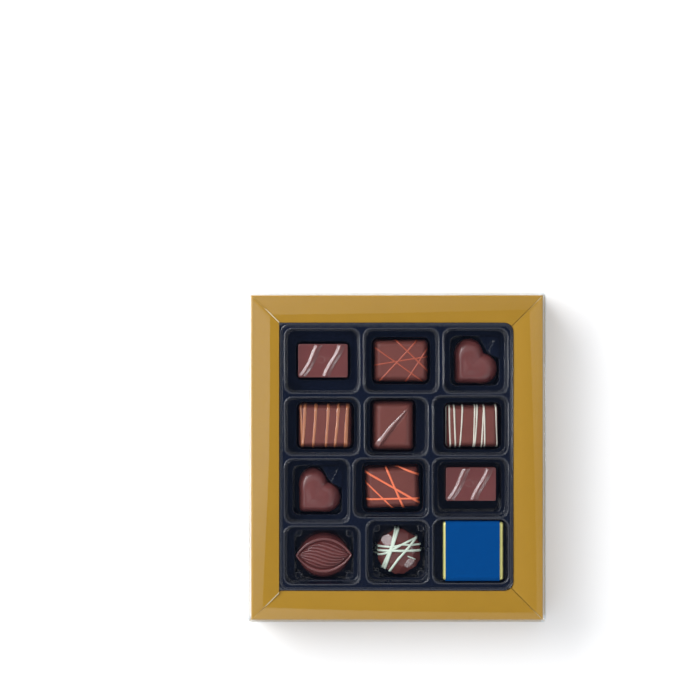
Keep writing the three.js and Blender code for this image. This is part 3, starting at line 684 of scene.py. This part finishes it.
def smooth_route(points, count=220, softness=0.06):
    """A route through plan points, its bends softened by a running mean, its two ends kept."""
    points = np.asarray(points, float)
    steps = np.concatenate([[0], np.cumsum(np.linalg.norm(np.diff(points, axis=0), axis=1))])
    first, last = points[0] - points[1], points[-1] - points[-2]
    steps = np.concatenate([[-1.0], steps, [steps[-1] + 1.0]])
    before, beyond = (step / np.linalg.norm(step) for step in (first, last))
    points = np.concatenate([points[:1] + before, points, points[-1:] + beyond])
    length = steps[-2]
    window = np.linspace(-1, 1, 9) * softness * length
    at = np.linspace(0, length, count)[:, None] + window
    at = np.clip(at, -1.0, length + 1.0)
    return np.stack([np.interp(at, steps, points[:, k]).mean(1) for k in range(2)], -1)


OVAL = [(0.5 * math.cos(turn), math.sin(turn)) for turn in np.linspace(0, 2 * math.pi, 13)[:-1]]


def thread(route, surface, width, rise, seed, steps=70, softness=0.06, taper=1.0, section=OVAL):
    """A thread of chocolate along a plan route, whose section follows the surface.

    Its steps are even along the laid length and both ends are round. Its width varies a little and
    runs evenly down to the taper's share of it. The section is given in widths and rises.
    """
    plan = smooth_route(route, softness=softness)
    place, facing = surface(plan[:, 0], plan[:, 1])
    length = np.concatenate([[0], np.cumsum(np.linalg.norm(np.diff(place, axis=0), axis=1))])
    at = np.linspace(0, length[-1], steps)
    place = np.stack([np.interp(at, length, place[:, k]) for k in range(3)], -1)
    facing = np.stack([np.interp(at, length, facing[:, k]) for k in range(3)], -1)
    forward = np.gradient(place, axis=0)
    forward /= np.linalg.norm(forward, axis=1, keepdims=True) + 1e-12
    side = np.cross(facing, forward)
    side /= np.linalg.norm(side, axis=1, keepdims=True) + 1e-12
    facing = np.cross(forward, side)
    to_end = np.minimum(at, at[-1] - at) / width
    end = np.sqrt(np.clip(1 - (1 - np.clip(to_end, 0.02, 1)) ** 2, 0, 1))
    swell = (1 + 0.16 * uneven(at, 0 * at, 7.0, seed)) * np.linspace(1, taper, steps)
    size, (sideways, outward) = (end * swell)[:, None], np.transpose(section)
    across, up = width * size * sideways, rise * size * outward
    return place[:, None] + across[..., None] * side[:, None] + up[..., None] * facing[:, None]


# Blocks with stripes
# Bands of caramel or ivory chocolate, laid across the block in one pass and run down its two long
# sides. Each stripe is given by where it leaves the back edge and the front edge.
CARAMEL = (0.430, 0.155, 0.070)
IVORY = (0.620, 0.590, 0.500)
STRIPE_RISE = 0.55
CARAMEL_STRIPES = [(-14.4, -13.3), (-11.6, -13.2), (-5.3, -7.1), (2.0, 0.3), (7.8, 5.5), (13.3, 11.4),
                   (13.1, 12.2)]
IVORY_STRIPES = [(-15.6, -16.2), (-13.5, -12.8), (-10.8, -9.9), (-5.9, -7.6), (1.3, 0.4), (2.6, 0.9),
                 (6.5, 5.0), (6.3, 6.8), (13.4, 14.2)]

caramel_chocolate = surface_finish("caramel_chocolate", CARAMEL, 0.86, 5.0, 0.18, gloss=1.0)
ivory_chocolate = surface_finish("ivory_chocolate", IVORY, 0.90, 5.0, 0.40)


def striped(name, cavity, width, length, stripes, thickness, taper, seed, finish):
    """A coated block and the stripes over it, each hanging a few millimetres down both sides.

    A stripe is thickest at the back and the taper's share of that at the front.
    """
    coated_block(name, cavity, width, length, rippled(seed))
    surface = on_block(width, length, BLOCK_HEIGHT, BLOCK_EDGE, BLOCK_CORNER)
    draw = np.random.default_rng(seed)
    rings = []
    for number, (back, front) in enumerate(stripes):
        hang_back, hang_front = length / 2 + draw.uniform(3.0, 6.5, 2)
        lean = (front - back) / length
        bend = draw.uniform(-0.35, 0.35)
        route = [
            (back - lean * (hang_back - length / 2), hang_back),
            ((back + front) / 2 + bend, 0.0),
            (front + lean * (hang_front - length / 2), -hang_front),
        ]
        ring = thread(route, surface, thickness, STRIPE_RISE, seed + number, softness=0.12, taper=taper)
        rings.append(ring)
    praline_piece(name + "_stripes", name, cavity, rings, finish)


striped("caramel_block", "second_left", 31.8, 26.2, CARAMEL_STRIPES, 2.15, 0.65, 21,
        caramel_chocolate)
striped("ivory_block", "second_right", 31.4, 25.4, IVORY_STRIPES, 1.1, 0.8, 43, ivory_chocolate)

# Blocks with crossing threads
# Thin threads of coloured chocolate thrown across the block at many angles. Each is given by its
# two ends and its width; those that reach past the edge hang down the side.
ORANGE = (0.860, 0.190, 0.085)
RED_BROWN = (0.360, 0.070, 0.035)
THREAD_BLOCK_TURN = 2.0
THREAD_FLATNESS = 0.42
ORANGE_THREADS = [(-17.0, 10.6, 17.8, -10.9, 1.3), (-17.0, 5.2, 1.4, -13.7, 0.95),
                  (-4.0, 13.2, 7.0, -14.8, 1.35), (-17.4, -6.3, 18.0, -6.9, 1.25),
                  (1.8, 12.6, 18.3, 5.8, 1.25)]
RED_THREADS = [(-16.6, 8.6, 14.0, -13.0, 0.9), (-13.6, -13.0, 10.6, 13.2, 1.05),
               (-17.4, -2.9, 17.4, 2.7, 0.9), (-4.6, 13.4, 17.0, -7.4, 1.0),
               (1.8, -13.4, 16.6, 9.4, 0.9)]

orange_chocolate = surface_finish("orange_chocolate", ORANGE, 0.9, 4.0, 0.42)
red_chocolate = surface_finish("red_brown_chocolate", RED_BROWN, 0.9, 4.0, 0.42)


def threaded(name, cavity, width, length, ends, seed, finish, turn=0.0):
    """A coated block and the nearly straight threads over it."""
    coated_block(name, cavity, width, length, rippled(seed, 0.06), turn=turn)
    surface = on_block(width, length, BLOCK_HEIGHT, BLOCK_EDGE, BLOCK_CORNER)
    draw = np.random.default_rng(seed)
    rings = []
    for number, (x0, y0, x1, y1, thickness) in enumerate(ends):
        bend = draw.uniform(-0.2, 0.2, 2)
        route = [(x0, y0), ((x0 + x1) / 2 + bend[0], (y0 + y1) / 2 + bend[1]), (x1, y1)]
        rise = THREAD_FLATNESS * thickness
        rings.append(thread(route, surface, thickness, rise, seed + number, softness=0.15))
    praline_piece(name + "_threads", name, cavity, rings, finish, turn=turn)


threaded("thread_block_front", "third_middle", 31.6, 24.8, ORANGE_THREADS, 57, orange_chocolate,
         THREAD_BLOCK_TURN)
threaded("thread_block_back", "back_middle", 32.0, 25.0, RED_THREADS, 62, red_chocolate)

# Block with a crest
# A taller block with softer shoulders. While the coating was wet a fork was drawn off across it,
# which left one slanting crest with a shallow furrow beside it.
RIDGE_SIZE = (24.6, 29.8)
RIDGE_HEIGHT = BLOCK_HEIGHT + 1.5
RIDGE_EDGE = 4.6
CREST = ((-9.1, -12.6), (8.6, 9.8))
FURROW = (1.0, 0.5, 0.45)
# The crest's wedge: a broad slant towards the back left and a steep side towards the front right.
LIP_ROUTE = ((-9.3, -12.9), (-0.9, -1.2), (8.8, 10.0))
LIP_SIZE = (2.8, 1.45)
LIP_SECTION = [(1.0, -0.15), (0.86, 0.0), (0.04, 1.0), (-0.04, 1.0), (-0.22, -0.3), (0.1, -0.6)]


def crest_relief(x, y):
    """A shallow furrow along the crest's line, fading to both ends, on a slightly uneven top."""
    (x0, y0), (x1, y1) = CREST
    length = math.hypot(x1 - x0, y1 - y0)
    ahead = ((x - x0) * (x1 - x0) + (y - y0) * (y1 - y0)) / length
    bow = 0.4 * np.sin(math.pi * ahead / length)
    aside = ((x - x0) * (y1 - y0) - (y - y0) * (x1 - x0)) / length + bow
    fade = np.clip(ahead / 2, 0, 1) * np.clip((length - ahead) / 9, 0, 1)
    place, wide, deep = FURROW
    furrow = np.exp(-((aside - place) / wide) ** 2)
    return 0.08 * uneven(x, y, 12.0, 77) - fade * deep * furrow


coated_block("ridge_block", "second_middle", *RIDGE_SIZE, crest_relief, RIDGE_HEIGHT, RIDGE_EDGE,
             steps=(16, 110), shrinks=90)
lip_chocolate = surface_finish("lip_chocolate", CHOCOLATE, 0.86, 7.0, 0.20, gloss=1.0)
ridge_surface = on_block(*RIDGE_SIZE, RIDGE_HEIGHT, RIDGE_EDGE, BLOCK_CORNER)
crest_lip = thread(LIP_ROUTE, ridge_surface, *LIP_SIZE, 78, 110, softness=0.1, taper=0.15,
                   section=LIP_SECTION)
praline_piece("ridge_block_crest", "ridge_block", "second_middle", [crest_lip], lip_chocolate,
              sharp=35)

# Blocks with waves
# Cast in a mould, so the edges are crisp and the top is flat. Two raised waves run across it, and
# faint curls from the mould show between them.
WAVE_HEIGHT = 14.0
WAVE_HALF, WAVE_FLAT = 2.0, 0.35
WAVE_RISE = 0.9
# Each wave: its middle, its lean over half the block, its sway and the phase of the sway.
WAVES = [(-6.9, 5.5, 0.5, 2.2), (6.2, 4.9, 0.5, 0.0)]
CURLS = [((-1.0, 0.6), 2.4), ((2.4, 0.8), 1.3)]
MOULDED = (0.150, 0.041, 0.038)


def wave_relief(length):
    """Two S-shaped ridges with slanting sides and a flat top, and shallow rings between them."""
    def relief(x, y):
        along = y / (length / 2)
        total = 0.02 * uneven(x, y, 5.0, 91)
        ends = np.clip((length / 2 - 0.9 - np.abs(y)) / 0.5, 0, 1)
        for middle, lean, sway, phase in WAVES:
            aside = 0.88 * np.abs(x - middle - lean * along - sway * np.sin(math.pi * along + phase))
            face = np.clip((WAVE_HALF - aside) / (WAVE_HALF - WAVE_FLAT), 0, 1)
            total = total + WAVE_RISE * (face - 0.015 * np.sin(2 * math.pi * face)) * ends
        for centre, ring in CURLS:
            reach = np.hypot(x - centre[0], (y - centre[1]) * 1.3)
            total = total + 0.05 * np.exp(-((reach - ring) / 0.3) ** 2)
        return total
    return relief


moulded_chocolate = surface_finish(
    "moulded_chocolate", MOULDED, 0.88, 9.0, 0.23, 0.004, 1.2, gloss=0.8)


def moulded_block(name, cavity, width, length, offset):
    """A block with slightly sloping sides, a narrow bevel and a flat top that carries the waves."""
    inward, up = quarter_oval(6)
    inset = np.concatenate([[0.1, 0.0], np.linspace(0.02, 0.5, 8), 0.5 + 0.5 * inward[1:]])
    level = np.concatenate([
        [0.0, 0.1], np.linspace(0.4, WAVE_HEIGHT - 0.5, 8), WAVE_HEIGHT - 0.5 + 0.5 * up[1:],
    ])
    plan = round_cornered(width / 2 - inset, length / 2 - inset, 1.1, 10, 120)
    shrink = np.linspace(1, 0.01, 110)[1:, None, None]
    plan = np.concatenate([plan, plan[-1] * shrink])
    level = np.concatenate([level, np.full(len(shrink), WAVE_HEIGHT)])[:, None]
    fade = np.clip(np.concatenate([np.zeros(len(inset)), (1 - shrink[:, 0, 0]) * 25]), 0, 1)[:, None]
    z = level + fade * wave_relief(length)(plan[..., 0], plan[..., 1])
    praline_piece(name + "_cast", name, cavity, [at_height(plan, z)], moulded_chocolate, offset)


moulded_block("wave_block_front", "third_right", 30.0, 20.4, (0.7, 1.9))
moulded_block("wave_block_back", "back_left", 29.7, 20.3, (0.0, 0.0))

# Hearts
# Solid moulded hearts with soft round edges, the point to the front left. The dip between the two
# lobes runs in towards the middle. Each has its pocket, its place in it and the side of its square.
HEARTS = {
    "heart_back": ("back_right", (-3.1, -4.5), 16.4),
    "heart_front": ("third_left", (-2.6, -4.3), 16.1),
}
HEART_STRETCH = 1.06
HEART_WALL = 6.6
HEART_FALL = 7.0
HEART_CROWN = 0.5
HEART_FLAT = 0.52
HEART_DIP = 0.6


def heart_rings(square_side):
    """Rays from the middle of the square part out to a square with a half disc on two sides.

    Along each ray the skin rises up the wall, then over a quarter oval to a nearly flat crown.
    Dividing the square and the discs by smooth maxima rounds the dip and the point.
    """
    angle = np.linspace(0, 2 * math.pi, 288, endpoint=False)
    cos, sin = np.cos(angle), np.sin(angle)
    square = 0.5 / (np.abs(cos) ** 7 + np.abs(sin) ** 7) ** (1 / 7)
    lobes = np.maximum(cos, 0) ** 14 + np.maximum(sin, 0) ** 14
    reach = (square ** 14 + lobes) ** (1 / 14) * square_side
    inward, up = quarter_oval(40)
    inner = np.linspace(1, 0.02, 26)[1:]
    edge = 1 - (1 - HEART_FLAT) * inward
    share = np.concatenate([[0.98, 1.0, 1.0], edge, HEART_FLAT * inner])
    height = np.concatenate([
        [0.0, 0.4, HEART_WALL / 2], HEART_WALL + HEART_FALL * up,
        HEART_WALL + HEART_FALL + HEART_CROWN * (1 - inner ** 2) ** 2,
    ])
    plan = share[:, None, None] * (reach[:, None] * np.stack([cos, HEART_STRETCH * sin], -1))
    x, y = plan[..., 0], plan[..., 1]
    dip = HEART_DIP * np.exp(-((x - y) / 4.5) ** 2) * np.clip((x + y) / 16, 0, 1) ** 1.5
    return at_height(plan, height[:, None] - dip * (height / height.max())[:, None])


heart_chocolate = surface_finish(
    "heart_chocolate", MOULDED, 0.88, 9.0, 0.29, 0.004, 1.2, gloss=0.5)
for heart, (cavity, offset, square_side) in HEARTS.items():
    praline_piece(heart + "_cast", heart, cavity, [heart_rings(square_side)], heart_chocolate, offset)

# Pod
# A moulded oval with a pointed lens on top: a raised rim round a field of fine ribs, which sweep
# from tip to tip in a long S.
POD_BASE = (29.6, 27.4)
POD_RIM = (32.8, 20.9)
POD_DOME = 2.8
POD_RIM_HEIGHT = 11.5
POD_RIBS = 8
POD_SWAY = 0.12
POD_LEAN = 0.32
POD_TURN = 0.6
RIM_WIDTH = 2.2
RIM_BULGE = 0.9
RIB_DEPTH = 1.1


def pod_lens():
    """The lens as a grid: u from tip to tip, v across, the half width falling as (1 - u^2)^0.85.

    The distance in from the edge gives the rim and its groove, and a cosine of the S-shaped
    coordinate gives the ribs on the domed field inside.
    """
    u = -np.cos(np.linspace(0, math.pi, 181))[:, None]
    v = np.sin(np.linspace(-math.pi / 2, math.pi / 2, 161))[None, :]
    ends = np.clip(1 - u * u, 0, 1)
    half = POD_RIM[1] / 2 * ends ** 0.85
    x = POD_RIM[0] / 2 * u + 0 * v
    y = half * v
    edge = (1 - np.abs(v)) * half
    rim = RIM_BULGE * np.sqrt(np.clip(1 - ((edge - RIM_WIDTH / 2) / (RIM_WIDTH / 2)) ** 2, 0, 1))
    field = np.clip((edge - RIM_WIDTH - 0.3) / np.maximum(half - RIM_WIDTH - 0.3, 0.3), 0, 1)
    dome = POD_DOME * (1 - (1 - field) ** 2) ** 0.8 * ends ** 0.7
    snake = v * 1.15 + (POD_SWAY * np.sin(math.pi * u) + POD_LEAN * u) * (1 - v * v)
    rib = np.abs(np.sin(math.pi * POD_RIBS / 2 * snake)) ** 0.7 - 0.6
    ribs = RIB_DEPTH * rib * np.clip(field * 5, 0, 1) * ends ** 0.5
    groove = -0.7 * np.exp(-((edge - RIM_WIDTH - 0.4) / 0.5) ** 2) * np.clip(half / 4 - 0.4, 0, 1)
    return np.stack([x, y, POD_RIM_HEIGHT + rim + dome + ribs + groove], -1)


def pod_flank(lens):
    """Rings from the oval foot up to the edge of the lens, bulging between the two."""
    edge = np.concatenate([lens[:, 0], lens[-2:0:-1, -1]])
    angle = np.arctan2(edge[:, 1] / POD_RIM[1], edge[:, 0] / POD_RIM[0])
    foot = np.stack([POD_BASE[0] / 2 * np.cos(angle), POD_BASE[1] / 2 * np.sin(angle) - 0.3], -1)
    rise = np.linspace(0, 1, 26)[:, None, None]
    blend = np.clip((rise - 0.12) / 0.88, 0, 1)
    blend = 1 - (1 - blend ** 2.0) ** 0.65
    plan = foot + (edge[:, :2] - foot) * blend
    return at_height(plan, edge[:, 2] * rise[..., 0])


lens = pod_lens()
pod_middle = praline_middle("front_left")
pod_parts = [
    (place_rings(lens, pod_middle, POD_TURN), [(grid_quads(*lens.shape[:2]), 0)]),
    loft(place_rings(pod_flank(lens), pod_middle, POD_TURN), crown=False),
]
make_piece("pod_praline_cast", pod_parts, [moulded_chocolate], ["pod_praline"], 50)

# Gem
# A moulded dome cut into rounds of flat facets, from a low crown down to nearly upright sides. Pale
# mint threads cross it in a loose star; each has its width and its route.
GEM_TOP = 16.5
GEM_FLATS = 6
GEM_ROUNDS = [
    (46.0, 12.0, 16.14), (16.0, 29.0, 16.44), (46.0, 36.0, 16.67), (30.0, 58.0, 16.6),
    (0.0, 62.0, 16.04), (0.0, 87.0, 12.5), (30.0, 87.0, 13.0),
]
GEM_STRETCH = np.array([1.02, 1.05])
MINT = (0.590, 0.680, 0.570)
GEM_CHOCOLATE = (0.118, 0.031, 0.027)
GEM_THREADS = [
    (1.5, (-1.7, 14.4), (-4.3, 3.1), (-10.4, -10.8)),
    (1.5, (0.0, 14.6), (-3.7, 3.4), (-8.8, -11.0)),
    (1.15, (-13.8, 3.5), (-5.9, 3.0), (-1.5, 3.4), (1.8, 4.5), (5.1, 4.1), (12.6, 4.3)),
    (1.35, (-14.2, 0.9), (14.2, 0.8)),
    (1.2, (-14.4, -1.4), (-10.6, -1.4), (-7.0, -0.5), (-3.2, 1.7), (2.3, 4.8), (10.2, 8.3)),
    (1.35, (10.6, 8.8), (5.1, 2.3), (-0.4, -3.8), (-6.2, -12.2)),
    (0.6, (4.8, -2.3), (7.2, -3.2), (9.6, -4.4)),
]


def gem_planes():
    """Outward direction and distance of each facet: the rounds of six, the blank's top and foot."""
    rows = [(0.0, 0.0, GEM_TOP), (0.0, 180.0, 0.0)]
    rows += [
        (first + flat * 360.0 / GEM_FLATS, tilt, distance)
        for first, tilt, distance in GEM_ROUNDS for flat in range(GEM_FLATS)
    ]
    turn, tilt, distance = np.array(rows).T
    turn, tilt = np.radians(turn), np.radians(tilt)
    level = np.sin(tilt)
    return np.stack([level * np.cos(turn), level * np.sin(turn), np.cos(tilt)], -1), distance


def gem_solid():
    """The corners where three facets meet inside all the others, and each facet round its own."""
    directions, distance = gem_planes()
    triples = np.array(list(itertools.combinations(range(len(distance)), 3)))
    triples = triples[np.abs(np.linalg.det(directions[triples])) > 1e-3]
    corners = np.linalg.solve(directions[triples], distance[triples][..., None])[..., 0]
    inside = (corners @ directions.T <= distance + 1e-6).all(1)
    corners = np.unique(corners[inside].round(4), axis=0)
    facets = []
    for facing, reach in zip(directions, distance):
        on_it = np.flatnonzero(np.abs(corners @ facing - reach) < 1e-3)
        if len(on_it) < 3:
            continue
        across = np.cross(facing, [0.36, 0.48, 0.8])
        along = np.cross(facing, across)
        out = corners[on_it] - corners[on_it].mean(0)
        order = np.argsort(np.arctan2(out @ along, out @ across))
        facets.append((on_it[order][None], 0))
    return corners, facets


def on_gem(x, y):
    """Height of the lowest facet over a plan point, and that facet's direction, both blended."""
    directions, distance = gem_planes()
    plan = np.stack([x, y], -1) / GEM_STRETCH
    upward = directions[:, 2] > 0
    directions, distance = directions[upward], distance[upward]
    height = (distance - plan @ directions[:, :2].T) / directions[:, 2]
    weight = np.exp(-2.5 * (height - height.min(-1, keepdims=True)))
    weight /= weight.sum(-1, keepdims=True)
    facing = weight @ directions
    z = np.maximum((weight * height).sum(-1), 1.5)
    return np.stack([x, y, z], -1), facing / np.linalg.norm(facing, axis=-1, keepdims=True)


mint_chocolate = surface_finish("mint_chocolate", MINT, 0.92, 3.0, 0.40)
gem_chocolate = surface_finish("glossy_chocolate", GEM_CHOCOLATE, 0.8, 9.0, 0.16, 0.004, 1.2)
gem_corners, gem_facets = gem_solid()
gem_corners[:, :2] *= GEM_STRETCH
gem_part = (place_rings(gem_corners, praline_middle("front_middle")), gem_facets)
gem_cast = make_piece("gem_praline_cast", [gem_part], [gem_chocolate], ["gem_praline"])
soften(gem_cast, 0.16, 4.0)
gem_threads = [
    thread(route, on_gem, width, THREAD_FLATNESS * width, 101 + number, steps=110, softness=0.05)
    for number, (width, *route) in enumerate(GEM_THREADS)
]
praline_piece("gem_praline_threads", "gem_praline", "front_middle", gem_threads, mint_chocolate)

# Wrapped square
# A thin square of chocolate in pale gold foil, with a closed sleeve of blue paper round it. The
# foil shows at the left and right, creased where it was folded in.
FOIL_SIZE = (34.6, 33.6, 4.4)
FOIL_SHIFT = 0.4
BAND_WIDTH = 31.1
PAPER = 0.3
SQUARE_MIDDLE = praline_middle("front_right")
BAND_BASE = SQUARE_FLOOR + 0.3
FOIL_BASE = BAND_BASE + 0.65
BLUE = (0.001, 0.055, 0.215)
FOIL = (0.70, 0.66, 0.23)


def foil_rings():
    """A rounded slab whose sides and edges are creased by waves of two sizes."""
    inward, up = quarter_oval(14)
    inset = np.concatenate([1 - up, [0.0, 0.0], 1.5 * inward])
    level = np.concatenate([inward, [1.5, 2.2], FOIL_SIZE[2] - 1.6 + 1.6 * up])
    plan = round_cornered(FOIL_SIZE[0] / 2 - inset, FOIL_SIZE[1] / 2 - inset, 1.2, 12, 90)
    angle = np.arctan2(plan[..., 1], plan[..., 0])
    along = angle * 17
    tall = level[:, None]
    crease = np.abs(np.sin(1.9 * along + 2.0 * tall)) * uneven(along, 1.3 * tall, 5.0, 5)
    fine = np.abs(uneven(along, 2 * tall, 2.2, 8))
    slack = np.sin(np.clip(level / FOIL_SIZE[2], 0, 1) * math.pi)[:, None] ** 0.5
    plan = plan * (1 - (0.014 * np.abs(crease) + 0.008 * fine) * slack)[..., None]
    return at_height(plan, level[:, None] - 0.10 * fine * slack)


def band_loops():
    """A closed loop round the foil, carried across it: the outer face, then the inner one back.

    The paper falls a little towards its back edge and lies over a fold near the front one.
    """
    half = FOIL_SIZE[1] / 2 + 0.3
    tall = FOIL_SIZE[2] + 0.6
    turn = np.linspace(0, 2 * math.pi, 241)[:-1]
    cos, sin = np.cos(turn), np.sin(turn)

    def loop(grow):
        y = np.sign(cos) * np.abs(cos) ** 0.16 * (half + grow)
        z = np.sign(sin) * np.abs(sin) ** 0.45 * (tall / 2 + grow)
        return y, z

    outer, inner = loop(PAPER), loop(0.0)
    stations = np.linspace(-BAND_WIDTH / 2, BAND_WIDTH / 2, 40)
    rings = []
    for (y, z), places in ((outer, stations), (inner, stations[::-1])):
        x = places[:, None] + 0 * y
        soft = 0.05 * uneven(x, y + 0 * x, 12.0, 33)
        fold = 0.22 * np.exp(-((y + 15.0) / 1.1) ** 2) - 0.30 * np.clip((y - 14.2) / 2.6, 0, 1)
        rings.append(np.stack([x, y + 0 * x, z + (soft + fold) * (z > 0)], -1))
    rings = np.concatenate(rings + [rings[0][:1]])
    return rings + [*SQUARE_MIDDLE, BAND_BASE + tall / 2 + PAPER]


foil_finish = surface_finish("pale_gold_foil", FOIL, 0.85, 2.0, 0.26, 0.03, 0.9, 0.35)
blue_finish = surface_finish("blue_paper", BLUE, 0.92, 3.0, 0.5, 0.004, 0.3, gloss=0.0)
foil_part = loft(foil_rings() + [SQUARE_MIDDLE[0] + FOIL_SHIFT, SQUARE_MIDDLE[1], FOIL_BASE])
make_piece("foil_wrap", [foil_part], [foil_finish], ["square_foil"], 60)
band_part = loft(band_loops(), False, False)
make_piece("paper_band", [band_part], [blue_finish], ["square_band"], 60)

# Clear lid
# Folded from a clear sheet and lifted off whole. Its top is flat in the middle and eases down
# towards the four edges, where it catches the light of the room.
LID_HALF = [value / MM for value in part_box("clear_lid")[1]]
LID_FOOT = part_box("clear_lid")[0].z / MM
LID_SHEET = 0.4
LID_EDGE = 1.1
LID_CORNER = 2.0
LID_EASE = 0.75
EASE_REACH = 9.0
EASE_LEAN = 0.22
EASE_FRONT_BACK = (0.32, 0.15)
LID_REFLECT = 0.033


def lid_rings(inset):
    """Rings from the foot up the walls and over the shoulder, then in across the top.

    The top is about LID_EASE lower at the shoulder than in the middle, on an even slope that ends
    where the reach does. Slope and reach grow from the front right to the back left.
    """
    inward, up = quarter_oval(10)
    edge = LID_EDGE - inset
    top = LID_HALF[2] - inset
    reach = np.linspace(0, 1, 30)[1:]
    draw = np.concatenate([[0.0] * 6, edge * inward, edge + 1.6 * EASE_REACH * reach])
    wall = np.linspace(LID_FOOT, top - LID_EASE - edge, 7)[:-1]
    level = np.concatenate([wall, top - LID_EASE - edge + edge * up, np.full(len(reach), top)])
    plan = round_cornered(
        LID_HALF[0] - inset - draw, LID_HALF[1] - inset - draw, LID_CORNER - inset, 8, 60)
    x, y = plan[..., 0], plan[..., 1]
    lean = -EASE_LEAN * x / LID_HALF[0] + np.where(y < 0, *EASE_FRONT_BACK) * y / LID_HALF[1]
    vary = 1 + lean - 0.08 * np.sin((x - 1.4 * y) / 60.0)
    slope = LID_EASE / EASE_REACH * vary
    ease = slope * np.maximum(EASE_REACH * vary - (draw - edge)[:, None], 0)
    on_top = np.arange(len(level))[:, None] >= len(wall) + len(up)
    return at_height(plan, level[:, None] - on_top * ease)


def clear_finish(name, reflect):
    """Clear plastic: light passes straight through, and more of it is reflected at a slant."""
    material = bpy.data.materials.new(name)
    material.use_nodes = True
    nodes, links = material.node_tree.nodes, material.node_tree.links
    nodes.remove(nodes["Principled BSDF"])
    through = nodes.new("ShaderNodeBsdfTransparent")
    through.inputs["Color"].default_value = (0.985, 0.99, 0.995, 1.0)
    gloss = nodes.new("ShaderNodeBsdfAnisotropic")
    gloss.inputs["Roughness"].default_value = 0.03
    gloss.inputs["Color"].default_value = (0.94, 0.98, 1.0, 1.0)
    slant = nodes.new("ShaderNodeLayerWeight")
    slant.inputs["Blend"].default_value = 0.5
    power = nodes.new("ShaderNodeMath")
    power.operation = "POWER"
    power.inputs[1].default_value = 5.0
    share = nodes.new("ShaderNodeMath")
    share.operation = "MULTIPLY_ADD"
    share.inputs[1].default_value = 1.0 - reflect
    share.inputs[2].default_value = reflect
    mix = nodes.new("ShaderNodeMixShader")
    links.new(slant.outputs["Facing"], power.inputs[0])
    links.new(power.outputs[0], share.inputs[0])
    links.new(share.outputs[0], mix.inputs["Fac"])
    links.new(through.outputs[0], mix.inputs[1])
    links.new(gloss.outputs[0], mix.inputs[2])
    links.new(mix.outputs[0], nodes["Material Output"].inputs["Surface"])
    return material


outer, inner = lid_rings(0.0), lid_rings(LID_SHEET)
shell = np.concatenate([outer[::-1], inner])
lid_part = loft(shell[::-1])
clear_plastic = clear_finish("clear_plastic", LID_REFLECT)
make_piece("clear_cover", [lid_part], [clear_plastic], ["clear_lid"])
